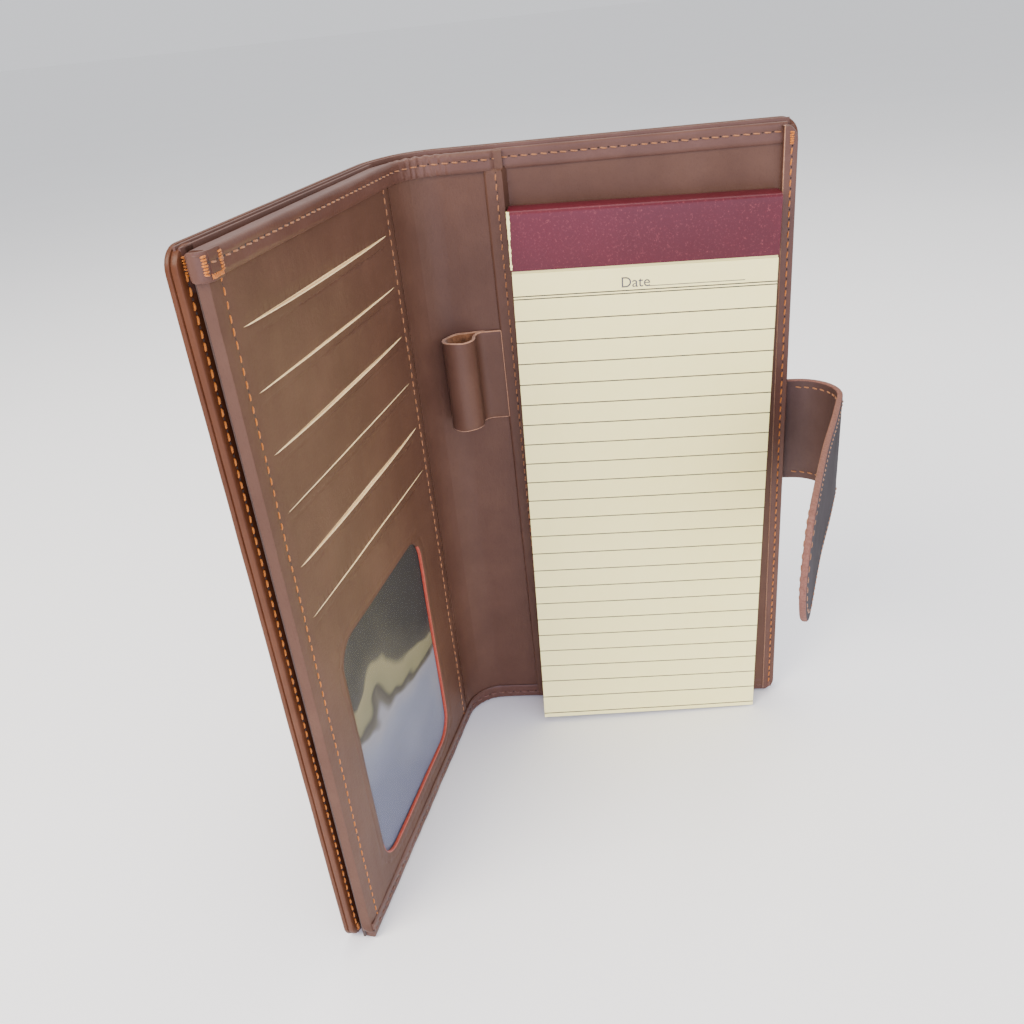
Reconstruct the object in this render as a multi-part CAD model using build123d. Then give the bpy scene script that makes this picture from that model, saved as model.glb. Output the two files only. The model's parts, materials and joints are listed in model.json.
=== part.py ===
from build123d import *
import math
import os

# A long leather wallet that stands open like a book on its short end.
# Z is up. The spine is at the origin, the right cover runs along +X, and
# -Y is the inside of the wallet. All sizes are in millimetres.

# overall sizes
wallet_height = 210.0
cover_width = 93.9          # pocket fold to fore-edge
leaf_width = 100.4          # card leaf, spine seam to fore-edge
corner_radius = 5.0
foot_lift = 0.6             # inner pieces stand this far above the shell's foot
shell_rise = 1.0            # the shell's top edge above the inner body

# leather and board thicknesses
shell_wall = 1.4
stiffener_wall = 0.8
lining_wall = 0.7
panel_wall = 0.7
spine_lining_wall = 1.0
band_wall = 0.55
gap = 0.3                   # clearance between things that move past each other
seam = 0.05                 # sewn layers lie this close

# bindings
band_height = 6.0
edge_band_width = 4.6

# spine
spine_flat = 6.6            # right fold line to the start of the turn
turn_radius = 13.5          # of the lining's face
turn_root = 20.0            # degrees of the turn that stay with the spine
turn_middle = 40.0          # degrees on the turning strip
turn_total = 78.6           # up to the left cover
leaf_angle = 79.4           # the card leaf is turned this far
fold_gap = 1.3              # half the gap between bodies at the right fold
turn_gap = 1.0              # half the gap at the two folds of the turn
fold_to_pocket = 7.1        # right fold line to the pocket's folded edge

# card leaf
seam_run = 3.2              # end of the turn to the leaf's seam
slot_length = 88.0
slot_width = 1.4
slot_start = 3.4            # from the spine seam
slot_count = 6
slot_pitch = 15.4
slot_drop = 18.6            # top edge to the first slot
pocket_depth = 47.0
pocket_wall = 0.15
window_start = 18.0
window_width = 64.0
window_foot = 13.0
window_height = 84.0
window_radius = 8.8
window_wall = 0.3
window_lap = 3.5
insert_wall = 0.2
hinge_seam = 1.3            # leaf's start to the end of the spine lining
cover_lip = 1.0             # the left cover's edge beyond the leaf's
leaf_tuck = 2.6             # card leaf's back to the cover's hinge line, along the leaf

# left cover
bill_room = 0.4             # least room for notes at the hinge
flange_width = 9.0
flange_wall = 0.4

# notepad
pad_width = 80.7
pad_height = 192.3
pad_thickness = 7.4
pad_start = 7.0             # pocket fold to the pad's left side
pad_tilt = 1.1
header_height = 17.9
header_wall = 0.5
header_inset = 1.5          # the header's deep part stays this far from the binding
board_wall = 0.6
sheet_wall = 0.25
board_depth = 120.0         # how far the board goes down into the pocket
pad_foot = 1.0

# pen loop
loop_bore = 8.8
loop_wall = 1.2
loop_foot = 123.5
loop_height = 30.5
loop_tab_wall = 0.8

# closing strap
strap_width = 36.5
strap_foot = 92.8
strap_wall = 0.9            # each of its two layers
strap_bend = 12.3
strap_bend_angle = 108.5
strap_base_run = 9.5
strap_tip_run = 77.0
strap_gap = 1.6
snap_radius = 6.0
snap_wall = 1.0
snap_slack = 2.2            # the strap's bend takes this much more than the cover's edge

# depths through the right cover, from the pocket panel's face
pocket_back = panel_wall
board_front = pocket_back + gap
board_back = board_front + board_wall
band_front = board_back + gap
backing_front = band_front + band_wall
backing_back = backing_front + panel_wall
band_back = backing_back + band_wall
stiff_front = band_back + seam
stiff_back = stiff_front + stiffener_wall
shell_front = stiff_back + seam
shell_back = shell_front + shell_wall
face_y = -(shell_front + shell_wall / 2)
spine_face = 0.9            # the spine lining lies this far behind the pocket panel's face

# plan positions
fold_x = spine_flat / 2
fold_depth = (spine_face + shell_back) / 2
pocket_x = fold_x + fold_to_pocket
edge_x = pocket_x + cover_width
turn_x = fold_x - spine_flat
turn_y = face_y + spine_face - turn_radius
inner_top = wallet_height
shell_top = wallet_height + shell_rise
hinge_radius = turn_radius + fold_depth - spine_face

# the card leaf's own depths, from its face to its back
window_back = panel_wall + seam + window_wall
insert_back = window_back + seam + insert_wall
pockets_front = insert_back + seam
pockets_back = pockets_front + slot_count * (pocket_wall + seam)
leaf_back = pockets_back + panel_wall
cover_face = leaf_back + bill_room + band_wall


def turn_point(radius, angle):
    """Point on the spine's turn, at an angle from its start."""
    a = math.radians(angle)
    return (turn_x - radius * math.sin(a), turn_y + radius * math.cos(a))


def frame_at(point, turned):
    """Frame whose +X runs along a leaf turned from flat, and whose +Y is the inside."""
    return Location((point[0], point[1], 0), (0, 0, 180 + turned))


def along(frame, x, y):
    """The point at x, y of a frame."""
    p = (frame * Location((x, y, 0))).position
    return (p.X, p.Y)


def seen_from(frame, point):
    """The same point in a frame's own x and y."""
    p = (frame.inverse() * Location((point[0], point[1], 0))).position
    return (p.X, p.Y)


def slab(x0, x1, y0, y1, z0, z1):
    """Box between two corners."""
    return Pos((x0 + x1) / 2, (y0 + y1) / 2, (z0 + z1) / 2) * Box(abs(x1 - x0), abs(y1 - y0), abs(z1 - z0))


def round_end(x0, x1, y0, y1, z0, z1, radius):
    """Slab with its two corners at x1 rounded, seen from the front."""
    body = slab(x0, x1, y0, y1, z0, z1)
    edges = body.edges().filter_by(Axis.Y).group_by(Axis.X)[-1]
    return fillet(edges, min(radius, 0.95 * (x1 - x0)))


def wall_turn(radius, wall, a0, a1, z0, z1):
    """Curved wall around the spine's turn."""
    points = [turn_point(radius, a0), turn_point(radius, (a0 + a1) / 2), turn_point(radius, a1)]
    back = radius + wall
    backs = [turn_point(back, a1), turn_point(back, (a0 + a1) / 2), turn_point(back, a0)]
    outline = Polyline(points[2], backs[0]) + ThreePointArc(*backs) + Polyline(backs[2], points[0])
    outline = outline + ThreePointArc(*points)
    return Pos(0, 0, z0) * extrude(make_face(outline), z1 - z0)


def gap_angle(radius):
    """Angle taken by half a turning gap at a radius."""
    return math.degrees(turn_gap / radius)


def channel(x0, x1, front, back, wall_y, z_open, z_closed):
    """Binding that wraps a layer's top or bottom edge, with a cap and a flap on each side."""
    z0, z1 = min(z_open, z_closed), max(z_open, z_closed)
    body = slab(x0, x1, front, back, z0, z1)
    step = band_wall if z_closed > z_open else -band_wall
    return body - slab(x0 - 1, x1 + 1, wall_y[0], wall_y[1], z_open - step, z_closed - step)


nodes = {}

# ---------------------------------------------------------------- left side frames
arc_end = turn_point(turn_radius, leaf_angle)
leaf_start = along(frame_at(arc_end, leaf_angle), seam_run, 0)
leaf = frame_at(leaf_start, leaf_angle)
hinge_line = along(leaf, -leaf_tuck, -cover_face)
cover = frame_at(hinge_line, turn_total)
cover_length = leaf_width + leaf_tuck + cover_lip
first_fold = turn_point(hinge_radius, turn_root)
second_fold = turn_point(hinge_radius, turn_root + turn_middle)
cover_start = seen_from(cover, second_fold)[0] + 1.5 * turn_gap

# ---------------------------------------------------------------- spine (the still body)
spine_top = inner_top - band_wall
spine_foot_z = foot_lift + band_wall
lining_front = face_y + spine_face
flat_end = fold_x - fold_gap


def spine_layer(front, wall, z0, z1):
    """Flat part of the spine with the first part of its turn."""
    radius = turn_radius + front - lining_front
    flat = slab(turn_x, flat_end, front, front + wall, z0, z1)
    bend = wall_turn(radius, wall, 0, turn_root - gap_angle(radius), z0, z1)
    return flat + bend


def turn_layer(front, wall, z0, z1):
    """The same layer on the turning strip."""
    radius = turn_radius + front - lining_front
    play = gap_angle(radius)
    return wall_turn(radius, wall, turn_root + play, turn_root + turn_middle - play, z0, z1)


def end_layer(front, wall, z0, z1):
    """The same layer from the turning strip to the card leaf's seam."""
    radius = turn_radius + front - lining_front
    bend = wall_turn(radius, wall, turn_root + turn_middle + gap_angle(radius), leaf_angle, z0, z1)
    depth = lining_front - front
    run = leaf * slab(-seam_run, -hinge_seam, depth - wall, depth, z0, z1)
    return bend + run


def spine_band(layer, z_open, z_closed):
    """Binding around the lining's edge, on either of the spine's bodies."""
    z0, z1 = min(z_open, z_closed), max(z_open, z_closed)
    block = layer(lining_front - band_wall, spine_lining_wall + 2 * band_wall, z0, z1)
    step = band_wall if z_closed > z_open else -band_wall
    low, high = min(z_open - step, z_closed - step), max(z_open - step, z_closed - step)
    return block - layer(lining_front, spine_lining_wall, low, high)


for name, layer in (("spine", spine_layer), ("spine_turn", turn_layer), ("left_hinge", end_layer)):
    if layer is not end_layer:
        nodes[name + "_shell"] = layer(face_y + shell_front, shell_wall, 0, shell_top)
    nodes[name + "_lining"] = layer(lining_front, spine_lining_wall, spine_foot_z, spine_top)
    nodes[name + "_top_binding"] = spine_band(layer, inner_top - band_height, inner_top)
    nodes[name + "_foot_binding"] = spine_band(layer, foot_lift + band_height, foot_lift)

# pen loop: a sewn tube over the spine, with a tab that runs under the pocket's fold
loop_radius = loop_bore / 2 + loop_wall
loop_x = turn_x + 0.5
loop_y = turn_y + turn_radius - loop_radius - seam
loop_tube = Cylinder(loop_radius, loop_height) - Cylinder(loop_bore / 2, loop_height + 2)
nodes["pen_loop"] = Pos(loop_x, loop_y, loop_foot + loop_height / 2) * loop_tube

# ---------------------------------------------------------------- right cover
right_start = fold_x + fold_gap
panel_x1 = edge_x - edge_band_width
slit_z = pad_foot + pad_height - header_height - gap - pad_width * math.tan(math.radians(pad_tilt))
right_top = inner_top - band_wall
core_x1 = edge_x - band_wall

nodes["right_shell"] = round_end(right_start, edge_x, face_y + shell_front, face_y + shell_back,
                                 0, shell_top, corner_radius)
nodes["right_stiffener"] = round_end(right_start + 2, edge_x - 1.5, face_y + stiff_front, face_y + stiff_back,
                                     1.5, shell_top - 1.5, corner_radius)
nodes["right_backing"] = round_end(right_start, core_x1 - seam, face_y + backing_front, face_y + backing_back,
                                   spine_foot_z, right_top, corner_radius - 1)
nodes["right_pocket_panel"] = slab(pocket_x, panel_x1, face_y, face_y + pocket_back,
                                   foot_lift + band_height, slit_z)
hem_z = (foot_lift + band_height, inner_top - band_height)
nodes["pocket_fold"] = slab(pocket_x, pocket_x + 3.5, face_y + pocket_back, face_y + backing_front, *hem_z)
edge_band = round_end(panel_x1, edge_x, face_y, face_y + band_back, foot_lift, inner_top, corner_radius)
edge_core = slab(panel_x1 - 1, core_x1, face_y + backing_front, face_y + backing_back, spine_foot_z, right_top)
nodes["right_edge_binding"] = edge_band - edge_core
core_y = (face_y + backing_front, face_y + backing_back)
nodes["right_top_binding"] = channel(right_start, panel_x1, face_y + band_front, face_y + band_back, core_y,
                                     inner_top - band_height, inner_top)
nodes["right_foot_binding"] = channel(right_start, panel_x1, face_y, face_y + band_back, core_y,
                                      foot_lift + band_height, foot_lift)
tab_y = face_y + spine_face
nodes["pen_loop_tab"] = slab(right_start, pocket_x - seam, tab_y - loop_tab_wall / 2, tab_y + loop_tab_wall / 2,
                             loop_foot, loop_foot + loop_height - 2)

# ---------------------------------------------------------------- card leaf
leaf_foot = foot_lift
leaf_top = inner_top
card = slab(0, leaf_width - band_wall, -panel_wall, 0, leaf_foot + band_wall, leaf_top - band_wall)
for index in range(slot_count):
    slot_z = wallet_height - slot_drop - index * slot_pitch
    card -= slab(slot_start, slot_start + slot_length, -panel_wall - 1, 1, slot_z - slot_width, slot_z)
    layer_y = -(pockets_front + index * (pocket_wall + seam))
    sheet = slab(slot_start - 1.4, slot_start + slot_length + 1.4, layer_y - pocket_wall, layer_y,
                 slot_z - slot_width - pocket_depth, slot_z + 2.5)
    nodes["card_pocket_%d" % (index + 1)] = leaf * sheet
window_z = window_foot + window_height / 2
window_x = window_start + window_width / 2
window_hole = RectangleRounded(window_width, window_height, window_radius)
card -= Pos(window_x, 0, window_z) * Rot(90, 0, 0) * extrude(window_hole, 3, both=True)
nodes["card_panel"] = leaf * card
lap_width = window_width + 2 * window_lap
lap_height = window_height + 2 * window_lap
plastic_y = -(panel_wall + seam)
nodes["id_window"] = leaf * slab(window_x - lap_width / 2, window_x + lap_width / 2, plastic_y - window_wall,
                                 plastic_y, window_z - lap_height / 2, window_z + lap_height / 2)
insert_y = -(window_back + seam)
nodes["id_insert"] = leaf * slab(window_x - lap_width / 2 + 1, window_x + lap_width / 2 - 1,
                                 insert_y - insert_wall, insert_y,
                                 window_z - lap_height / 2 + 1, window_z + lap_height / 2 - 1)
nodes["leaf_backing"] = leaf * slab(0, leaf_width - band_wall, -leaf_back, -pockets_back,
                                    leaf_foot + band_wall, leaf_top - band_wall)
leaf_core = (-leaf_back, 0)
top_band = channel(0, leaf_width - band_height, band_wall, -leaf_back - band_wall, leaf_core,
                   leaf_top - band_height, leaf_top)
nodes["leaf_top_binding"] = leaf * top_band
foot_band = channel(0, leaf_width - band_height, band_wall, -leaf_back - band_wall, leaf_core,
                    leaf_foot + band_height, leaf_foot)
nodes["leaf_foot_binding"] = leaf * foot_band
roll = round_end(leaf_width - band_height, leaf_width, -leaf_back - band_wall, band_wall,
                 leaf_foot, leaf_top, corner_radius)
roll -= slab(0, leaf_width - band_wall, -leaf_back, 0, leaf_foot + band_wall, leaf_top - band_wall)
nodes["leaf_edge_roll"] = leaf * roll
nodes["gusset_inner_flange"] = leaf * slab(leaf_width - flange_width - 1, leaf_width - 1,
                                           -leaf_back - band_wall - seam - flange_wall,
                                           -leaf_back - band_wall - seam,
                                           leaf_foot + band_height, leaf_top - band_height)

# ---------------------------------------------------------------- left cover
cover_stiff = -(lining_wall + seam)
cover_shell = cover_stiff - stiffener_wall - seam
left_shell = round_end(cover_start, cover_length, cover_shell - shell_wall, cover_shell, 0, shell_top, corner_radius)
nodes["left_shell"] = cover * left_shell
nodes["left_stiffener"] = cover * round_end(2, cover_length - 1.5, cover_stiff - stiffener_wall, cover_stiff,
                                            1.5, shell_top - 1.5, corner_radius)
nodes["left_cover_lining"] = cover * round_end(0, cover_length - 0.6, -lining_wall, 0,
                                               foot_lift, inner_top, corner_radius)
nodes["gusset_outer_flange"] = cover * slab(cover_length - flange_width - 2, cover_length - 2,
                                            seam, seam + flange_wall,
                                            leaf_foot + band_height, leaf_top - band_height)
snap_z = strap_foot + strap_width / 2
outer_y = cover_shell - shell_wall
stud_run = strap_tip_run - strap_width / 2
stud_x = cover_length - stud_run + snap_slack


def disc(radius, x, y0, y1, z):
    """Round plate whose axis is Y."""
    return Pos(x, (y0 + y1) / 2, z) * Rot(90, 0, 0) * Cylinder(radius, abs(y1 - y0))


nodes["snap_stud"] = cover * disc(snap_radius, stud_x, outer_y - snap_wall, outer_y, snap_z)

# ---------------------------------------------------------------- closing strap
root = (edge_x + strap_gap, face_y + fold_depth)
bend_turn = math.radians(strap_bend_angle)


def strap_path(offset, start, end):
    """Line along the strap at an offset towards its inside, from start to end."""
    radius = strap_bend - offset
    centre = (root[0], root[1] - strap_bend)
    points = []
    for part in (0, 0.5, 1):
        a = bend_turn * part
        points.append((centre[0] + radius * math.sin(a), centre[1] + radius * math.cos(a)))
    run = (math.cos(bend_turn), -math.sin(bend_turn))
    tip = [(points[2][0] + run[0] * t, points[2][1] + run[1] * t) for t in (start, end)]
    return points, tip


def strap_layer(near, far):
    """Curved layer of the strap's base between two offsets."""
    bend_a, run_a = strap_path(near, 0, strap_base_run - strap_gap)
    bend_b, run_b = strap_path(far, 0, strap_base_run - strap_gap)
    outline = ThreePointArc(*bend_a) + Line(bend_a[2], run_a[1]) + Line(run_a[1], run_b[1])
    outline = outline + Line(run_b[1], bend_b[2]) + ThreePointArc(*reversed(bend_b)) + Line(bend_b[0], bend_a[0])
    return Pos(0, 0, strap_foot) * extrude(make_face(outline), strap_width)


nodes["strap_base_outer"] = strap_layer(-strap_wall, 0)
nodes["strap_base_lining"] = strap_layer(seam, strap_wall)
fold_points, fold_run = strap_path(0, strap_base_run, strap_base_run + strap_tip_run)
strap_hinge = fold_run[0]
tip_frame = Location((strap_hinge[0], strap_hinge[1], 0), (0, 0, -strap_bend_angle))


def tongue(y0, y1, inset):
    """Straight part of the strap with a round end."""
    half = strap_width / 2 - inset
    straight = slab(strap_gap, strap_tip_run - strap_width / 2, y0, y1, snap_z - half, snap_z + half)
    return straight + disc(half, strap_tip_run - strap_width / 2, y0, y1, snap_z)


tip_x = strap_tip_run - strap_width / 2
nodes["strap_tip_outer"] = tip_frame * tongue(0, strap_wall, 0)
socket_hole = disc(snap_radius - 1, tip_x, -strap_wall - 1, 1, snap_z)
nodes["strap_tip_lining"] = tip_frame * (tongue(-strap_wall, -seam, 0) - socket_hole)
nodes["snap_socket"] = tip_frame * (disc(snap_radius - 1 - seam, tip_x, -strap_wall - 0.1, -seam, snap_z))

# ---------------------------------------------------------------- notepad
pad_x = pocket_x + pad_start
pad_back = face_y - gap
pad_front = pad_back - pad_thickness
pad_top = pad_foot + pad_height
head_z = pad_top - header_height
tilt = Pos(pad_x, 0, pad_top) * Rot(0, pad_tilt, 0) * Pos(-pad_x, 0, -pad_top)
pad_x1 = pad_x + pad_width
block = slab(pad_x, pad_x1, pad_front, pad_back, pad_foot + 3, head_z)
block += slab(pad_x, pad_x1, pad_front, pad_back, head_z, pad_top - header_wall)
block += slab(pad_x + 1, pad_x1 - header_inset, pad_back, face_y + board_front - seam, head_z, pad_top - header_wall)
nodes["pad_sheets"] = tilt * block
nodes["pad_backboard"] = tilt * slab(pad_x + 1, pad_x1 - header_inset, face_y + board_front, face_y + board_back,
                                     head_z - board_depth, pad_top - header_wall - seam)
head = slab(pad_x, pad_x1, pad_front - header_wall, pad_back, head_z, pad_top)
head -= slab(pad_x - 1, pad_x1 + 1, pad_front, pad_back + 1, head_z - 1, pad_top - header_wall)
nodes["pad_header"] = tilt * head
sheet_y = pad_front - seam
nodes["pad_top_sheet"] = tilt * slab(pad_x + 0.1, pad_x1 - 0.1, sheet_y - sheet_wall, sheet_y,
                                     pad_foot + 3, head_z - gap)

os.makedirs("parts", exist_ok=True)
for name, shape in nodes.items():
    export_step(shape, "parts/%s.step" % name)

for label, point in (
    ("right fold", (fold_x, face_y + fold_depth)),
    ("first turn fold", first_fold),
    ("second turn fold", second_fold),
    ("bill hinge", hinge_line),
    ("strap root", root),
    ("strap hinge", strap_hinge),
    ("sheet hinge", (sheet_y - sheet_wall / 2, head_z - gap)),
    ("pen loop", (loop_x, loop_y)),
):
    print("%-18s %9.3f %9.3f" % (label, *point))
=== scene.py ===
import json
import math
import random

import bpy
import numpy as np
from mathutils import Matrix, Vector
from mathutils.geometry import delaunay_2d_cdt


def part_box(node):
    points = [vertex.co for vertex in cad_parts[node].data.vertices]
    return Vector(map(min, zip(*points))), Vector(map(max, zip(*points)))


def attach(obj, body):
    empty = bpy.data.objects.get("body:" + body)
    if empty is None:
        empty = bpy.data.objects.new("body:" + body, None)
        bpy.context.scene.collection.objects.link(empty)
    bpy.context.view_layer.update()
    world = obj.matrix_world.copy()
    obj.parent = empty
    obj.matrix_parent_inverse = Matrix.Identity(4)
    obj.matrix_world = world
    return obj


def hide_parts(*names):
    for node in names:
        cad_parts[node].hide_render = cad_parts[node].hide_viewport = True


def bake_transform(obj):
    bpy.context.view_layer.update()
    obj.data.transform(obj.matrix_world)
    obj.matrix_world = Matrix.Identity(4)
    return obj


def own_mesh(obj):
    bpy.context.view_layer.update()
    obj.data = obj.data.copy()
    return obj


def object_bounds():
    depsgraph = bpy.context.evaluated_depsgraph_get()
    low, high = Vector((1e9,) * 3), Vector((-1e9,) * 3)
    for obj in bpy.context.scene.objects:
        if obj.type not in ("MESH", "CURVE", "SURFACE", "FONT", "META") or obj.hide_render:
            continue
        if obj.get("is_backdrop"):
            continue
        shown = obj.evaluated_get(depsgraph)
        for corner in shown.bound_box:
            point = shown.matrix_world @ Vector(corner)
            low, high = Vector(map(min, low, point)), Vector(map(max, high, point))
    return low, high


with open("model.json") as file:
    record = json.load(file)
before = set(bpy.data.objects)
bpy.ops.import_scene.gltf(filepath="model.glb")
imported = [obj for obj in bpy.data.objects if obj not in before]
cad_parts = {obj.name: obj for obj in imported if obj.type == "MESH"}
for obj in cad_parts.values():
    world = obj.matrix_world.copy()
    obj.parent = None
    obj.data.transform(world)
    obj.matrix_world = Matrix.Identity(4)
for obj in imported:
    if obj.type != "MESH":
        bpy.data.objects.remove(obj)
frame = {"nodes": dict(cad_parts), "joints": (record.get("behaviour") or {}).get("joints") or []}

# A long leather wallet that stands open. Sizes here are in millimetres, and become metres as
# each mesh is made. Depth runs from the inside of the wallet to its outside.

cad_box = [list(p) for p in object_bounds()]
MM = 0.001
rng = random.Random(7)
noise_seed = np.random.RandomState(11)


# ------------------------------------------------------------------ sizes from the frame
def box_mm(node):
    """Lowest and highest corner of a CAD node, in millimetres."""
    low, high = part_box(node)
    return np.array(low) / MM, np.array(high) / MM


joint_at = {j["name"]: np.array(j["pos_m"]) / MM for j in frame["joints"] if "pos_m" in j}
panel_low, panel_high = box_mm("right_pocket_panel")
top_low, top_high = box_mm("right_top_binding")
loop_low, loop_high = box_mm("pen_loop")
head_low, head_high = box_mm("pad_header")
strap_low, strap_high = box_mm("strap_base_outer")

FACE = panel_low[1]                 # the pocket panel's face, in Y
POCKET_X = panel_low[0]
PANEL_X1 = panel_high[0]
EDGE_X = box_mm("right_edge_binding")[1][0]
FOLD_X = joint_at["right_fold"][0]
TOP = top_high[2]
BAND = top_high[2] - top_low[2]
FOOT = box_mm("right_foot_binding")[0][2]
SHELL_TOP = box_mm("right_shell")[1][2]
SLIT = panel_high[2]
LINING_STEP = 0.9                   # spine lining behind the pocket panel's face
TURN_RADIUS = 13.5
LEAF_TURN = math.radians(79.4)
COVER_TURN = math.radians(78.6)
SEAM_RUN = 3.2                      # end of the turn to the card leaf
LEAF_WIDTH = 100.4
LEAF_BACK = 3.25
COVER_LENGTH = 104.0
SHELL_IN = 4.6                      # shell's inner face behind the pocket panel's face
SHELL_WALL = 1.4
COVER_SHELL = 1.6                   # the same behind the left cover's lining
CORNER = 5.0
SQUARE = (0, 0, 0, 0)               # corner radii of a plain rectangle
UP = (0, 0, 1)
TO_FRONT = (0, -1, 0)
PAD_TILT = math.radians(1.1)


# ------------------------------------------------------------------ plan lines
class Path:
    """A plan line with a depth axis: at(s, d) is the point at length s, d towards the outside."""

    def __init__(self, points, origin=0.0):
        self.p = np.array(points, float)
        steps = np.diff(self.p, axis=0)
        length = np.hypot(steps[:, 0], steps[:, 1])
        self.s = np.concatenate([[0], np.cumsum(length)]) - origin
        tangent = steps / length[:, None]
        mid = np.vstack([tangent[:1], tangent[:-1] + tangent[1:], tangent[-1:]])
        self.t = mid / np.hypot(mid[:, 0], mid[:, 1])[:, None]

    def tangent(self, s):
        t = np.stack([np.interp(s, self.s, self.t[:, k]) for k in (0, 1)], -1)
        return t / np.linalg.norm(t, axis=-1, keepdims=True)

    def at(self, s, d):
        s, d = np.broadcast_arrays(np.asarray(s, float), np.asarray(d, float))
        t = self.tangent(s)
        base = np.stack([np.interp(s, self.s, self.p[:, k]) for k in (0, 1)], -1)
        over = (s - np.clip(s, self.s[0], self.s[-1]))[..., None]
        normal = np.stack([t[..., 1], -t[..., 0]], -1)
        return base + t * over + normal * d[..., None]


def arc(centre, radius, a0, a1, count=24):
    """Points of a plan arc, angles in radians from +Y towards -X."""
    return [(centre[0] - radius * math.sin(a), centre[1] + radius * math.cos(a))
            for a in np.linspace(a0, a1, count)]


def bezier(p0, p1, p2, p3, count=20):
    """Points of a cubic curve in plan."""
    p0, p1, p2, p3 = (np.array(p, float) for p in (p0, p1, p2, p3))
    return [tuple((1 - t) ** 3 * p0 + 3 * (1 - t) ** 2 * t * p1 + 3 * (1 - t) * t * t * p2 + t ** 3 * p3)
            for t in np.linspace(0, 1, count)]


turn_centre = (-FOLD_X, FACE + LINING_STEP - TURN_RADIUS)
leaf_dir = np.array([-math.cos(LEAF_TURN), -math.sin(LEAF_TURN)])
cover_dir = np.array([-math.cos(COVER_TURN), -math.sin(COVER_TURN)])
cover_out = np.array([cover_dir[1], -cover_dir[0]])
hinge = joint_at["bill_open"][:2]
arc_end = np.array(arc(turn_centre, TURN_RADIUS, 0, LEAF_TURN)[-1])
leaf_end = arc_end + leaf_dir * (SEAM_RUN + LEAF_WIDTH)
lining_y = FACE + LINING_STEP
inner = Path([(EDGE_X, lining_y)] + arc(turn_centre, TURN_RADIUS, 0, LEAF_TURN) + [tuple(leaf_end)],
             origin=EDGE_X)
LEAF_S = FOLD_X + TURN_RADIUS * LEAF_TURN + SEAM_RUN
MIDDLE_S = FOLD_X + TURN_RADIUS * math.radians(40)
RIGHT_D = -LINING_STEP              # the pocket panel's face on the inner line


def cover_point(x, d):
    """Point on the left cover, x from its hinge, d outside its lining."""
    return hinge + cover_dir * x + cover_out * d


shell_radius = TURN_RADIUS + SHELL_IN - LINING_STEP
bend_stop = math.radians(50)
shell_arc = arc(turn_centre, shell_radius, 0, bend_stop)
heading = np.array([-math.cos(bend_stop), -math.sin(bend_stop)])
join = cover_point(5, COVER_SHELL)
shell_curve = bezier(shell_arc[-1], np.array(shell_arc[-1]) + heading * 3.4, join - cover_dir * 3.6, join)
outer = Path([(EDGE_X, FACE + SHELL_IN)] + shell_arc + shell_curve[1:]
             + [tuple(cover_point(COVER_LENGTH, COVER_SHELL))], origin=EDGE_X)
OUTER_END = outer.s[-1]
OUTER_MIDDLE = FOLD_X + shell_radius * math.radians(40)


# ------------------------------------------------------------------ mesh tools
def make_object(name, verts, faces, materials, face_slots=None, uv=None, sharp=38):
    """Mesh object from points in millimetres."""
    mesh = bpy.data.meshes.new(name)
    mesh.from_pydata([tuple(v) for v in np.asarray(verts, float) * MM], [],
                     [tuple(int(i) for i in f) for f in faces])
    for m in materials:
        mesh.materials.append(m)
    if face_slots is not None:
        mesh.polygons.foreach_set("material_index", np.array(face_slots, np.int32))
    mesh.polygons.foreach_set("use_smooth", np.ones(len(mesh.polygons), bool))
    if uv is not None:
        layer = mesh.uv_layers.new(name="sheet")
        loops = np.zeros(len(mesh.loops), np.int32)
        mesh.loops.foreach_get("vertex_index", loops)
        layer.data.foreach_set("uv", np.asarray(uv, float)[loops].ravel())
    mesh.validate()
    mesh.update()
    mesh.set_sharp_from_angle(angle=math.radians(sharp))
    piece = bpy.data.objects.new(name, mesh)
    bpy.context.scene.collection.objects.link(piece)
    return piece


def rounded_outline(s0, s1, z0, z1, radii, step=2.0):
    """Closed outline of a rectangle in (s, z), radii for its corners from (s0, z0) counter-clockwise."""
    points = []
    corners = [(s0, z0, 180, 270), (s1, z0, 270, 360), (s1, z1, 0, 90), (s0, z1, 90, 180)]
    for (cs, cz, a0, a1), r in zip(corners, radii):
        if r <= 0:
            points.append((cs, cz))
            continue
        ms = cs + (r if cs == s0 else -r)
        mz = cz + (r if cz == z0 else -r)
        for a in np.radians(np.linspace(a0, a1, 9)):
            points.append((ms + r * math.cos(a), mz + r * math.sin(a)))
    out = []
    for i, p in enumerate(points):
        q = points[(i + 1) % len(points)]
        n = max(1, int(math.hypot(q[0] - p[0], q[1] - p[1]) / step))
        out += [(p[0] + (q[0] - p[0]) * k / n, p[1] + (q[1] - p[1]) * k / n) for k in range(n)]
    return out


def inside(points, polygon):
    """Which points lie in a polygon."""
    x, y = points[:, 0], points[:, 1]
    result = np.zeros(len(points), bool)
    poly = np.asarray(polygon)
    for a, b in zip(poly, np.roll(poly, -1, 0)):
        crosses = (a[1] > y) != (b[1] > y)
        where = a[0] + (y - a[1]) / (b[1] - a[1] + 1e-12) * (b[0] - a[0])
        result ^= crosses & (x < where)
    return result


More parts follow.
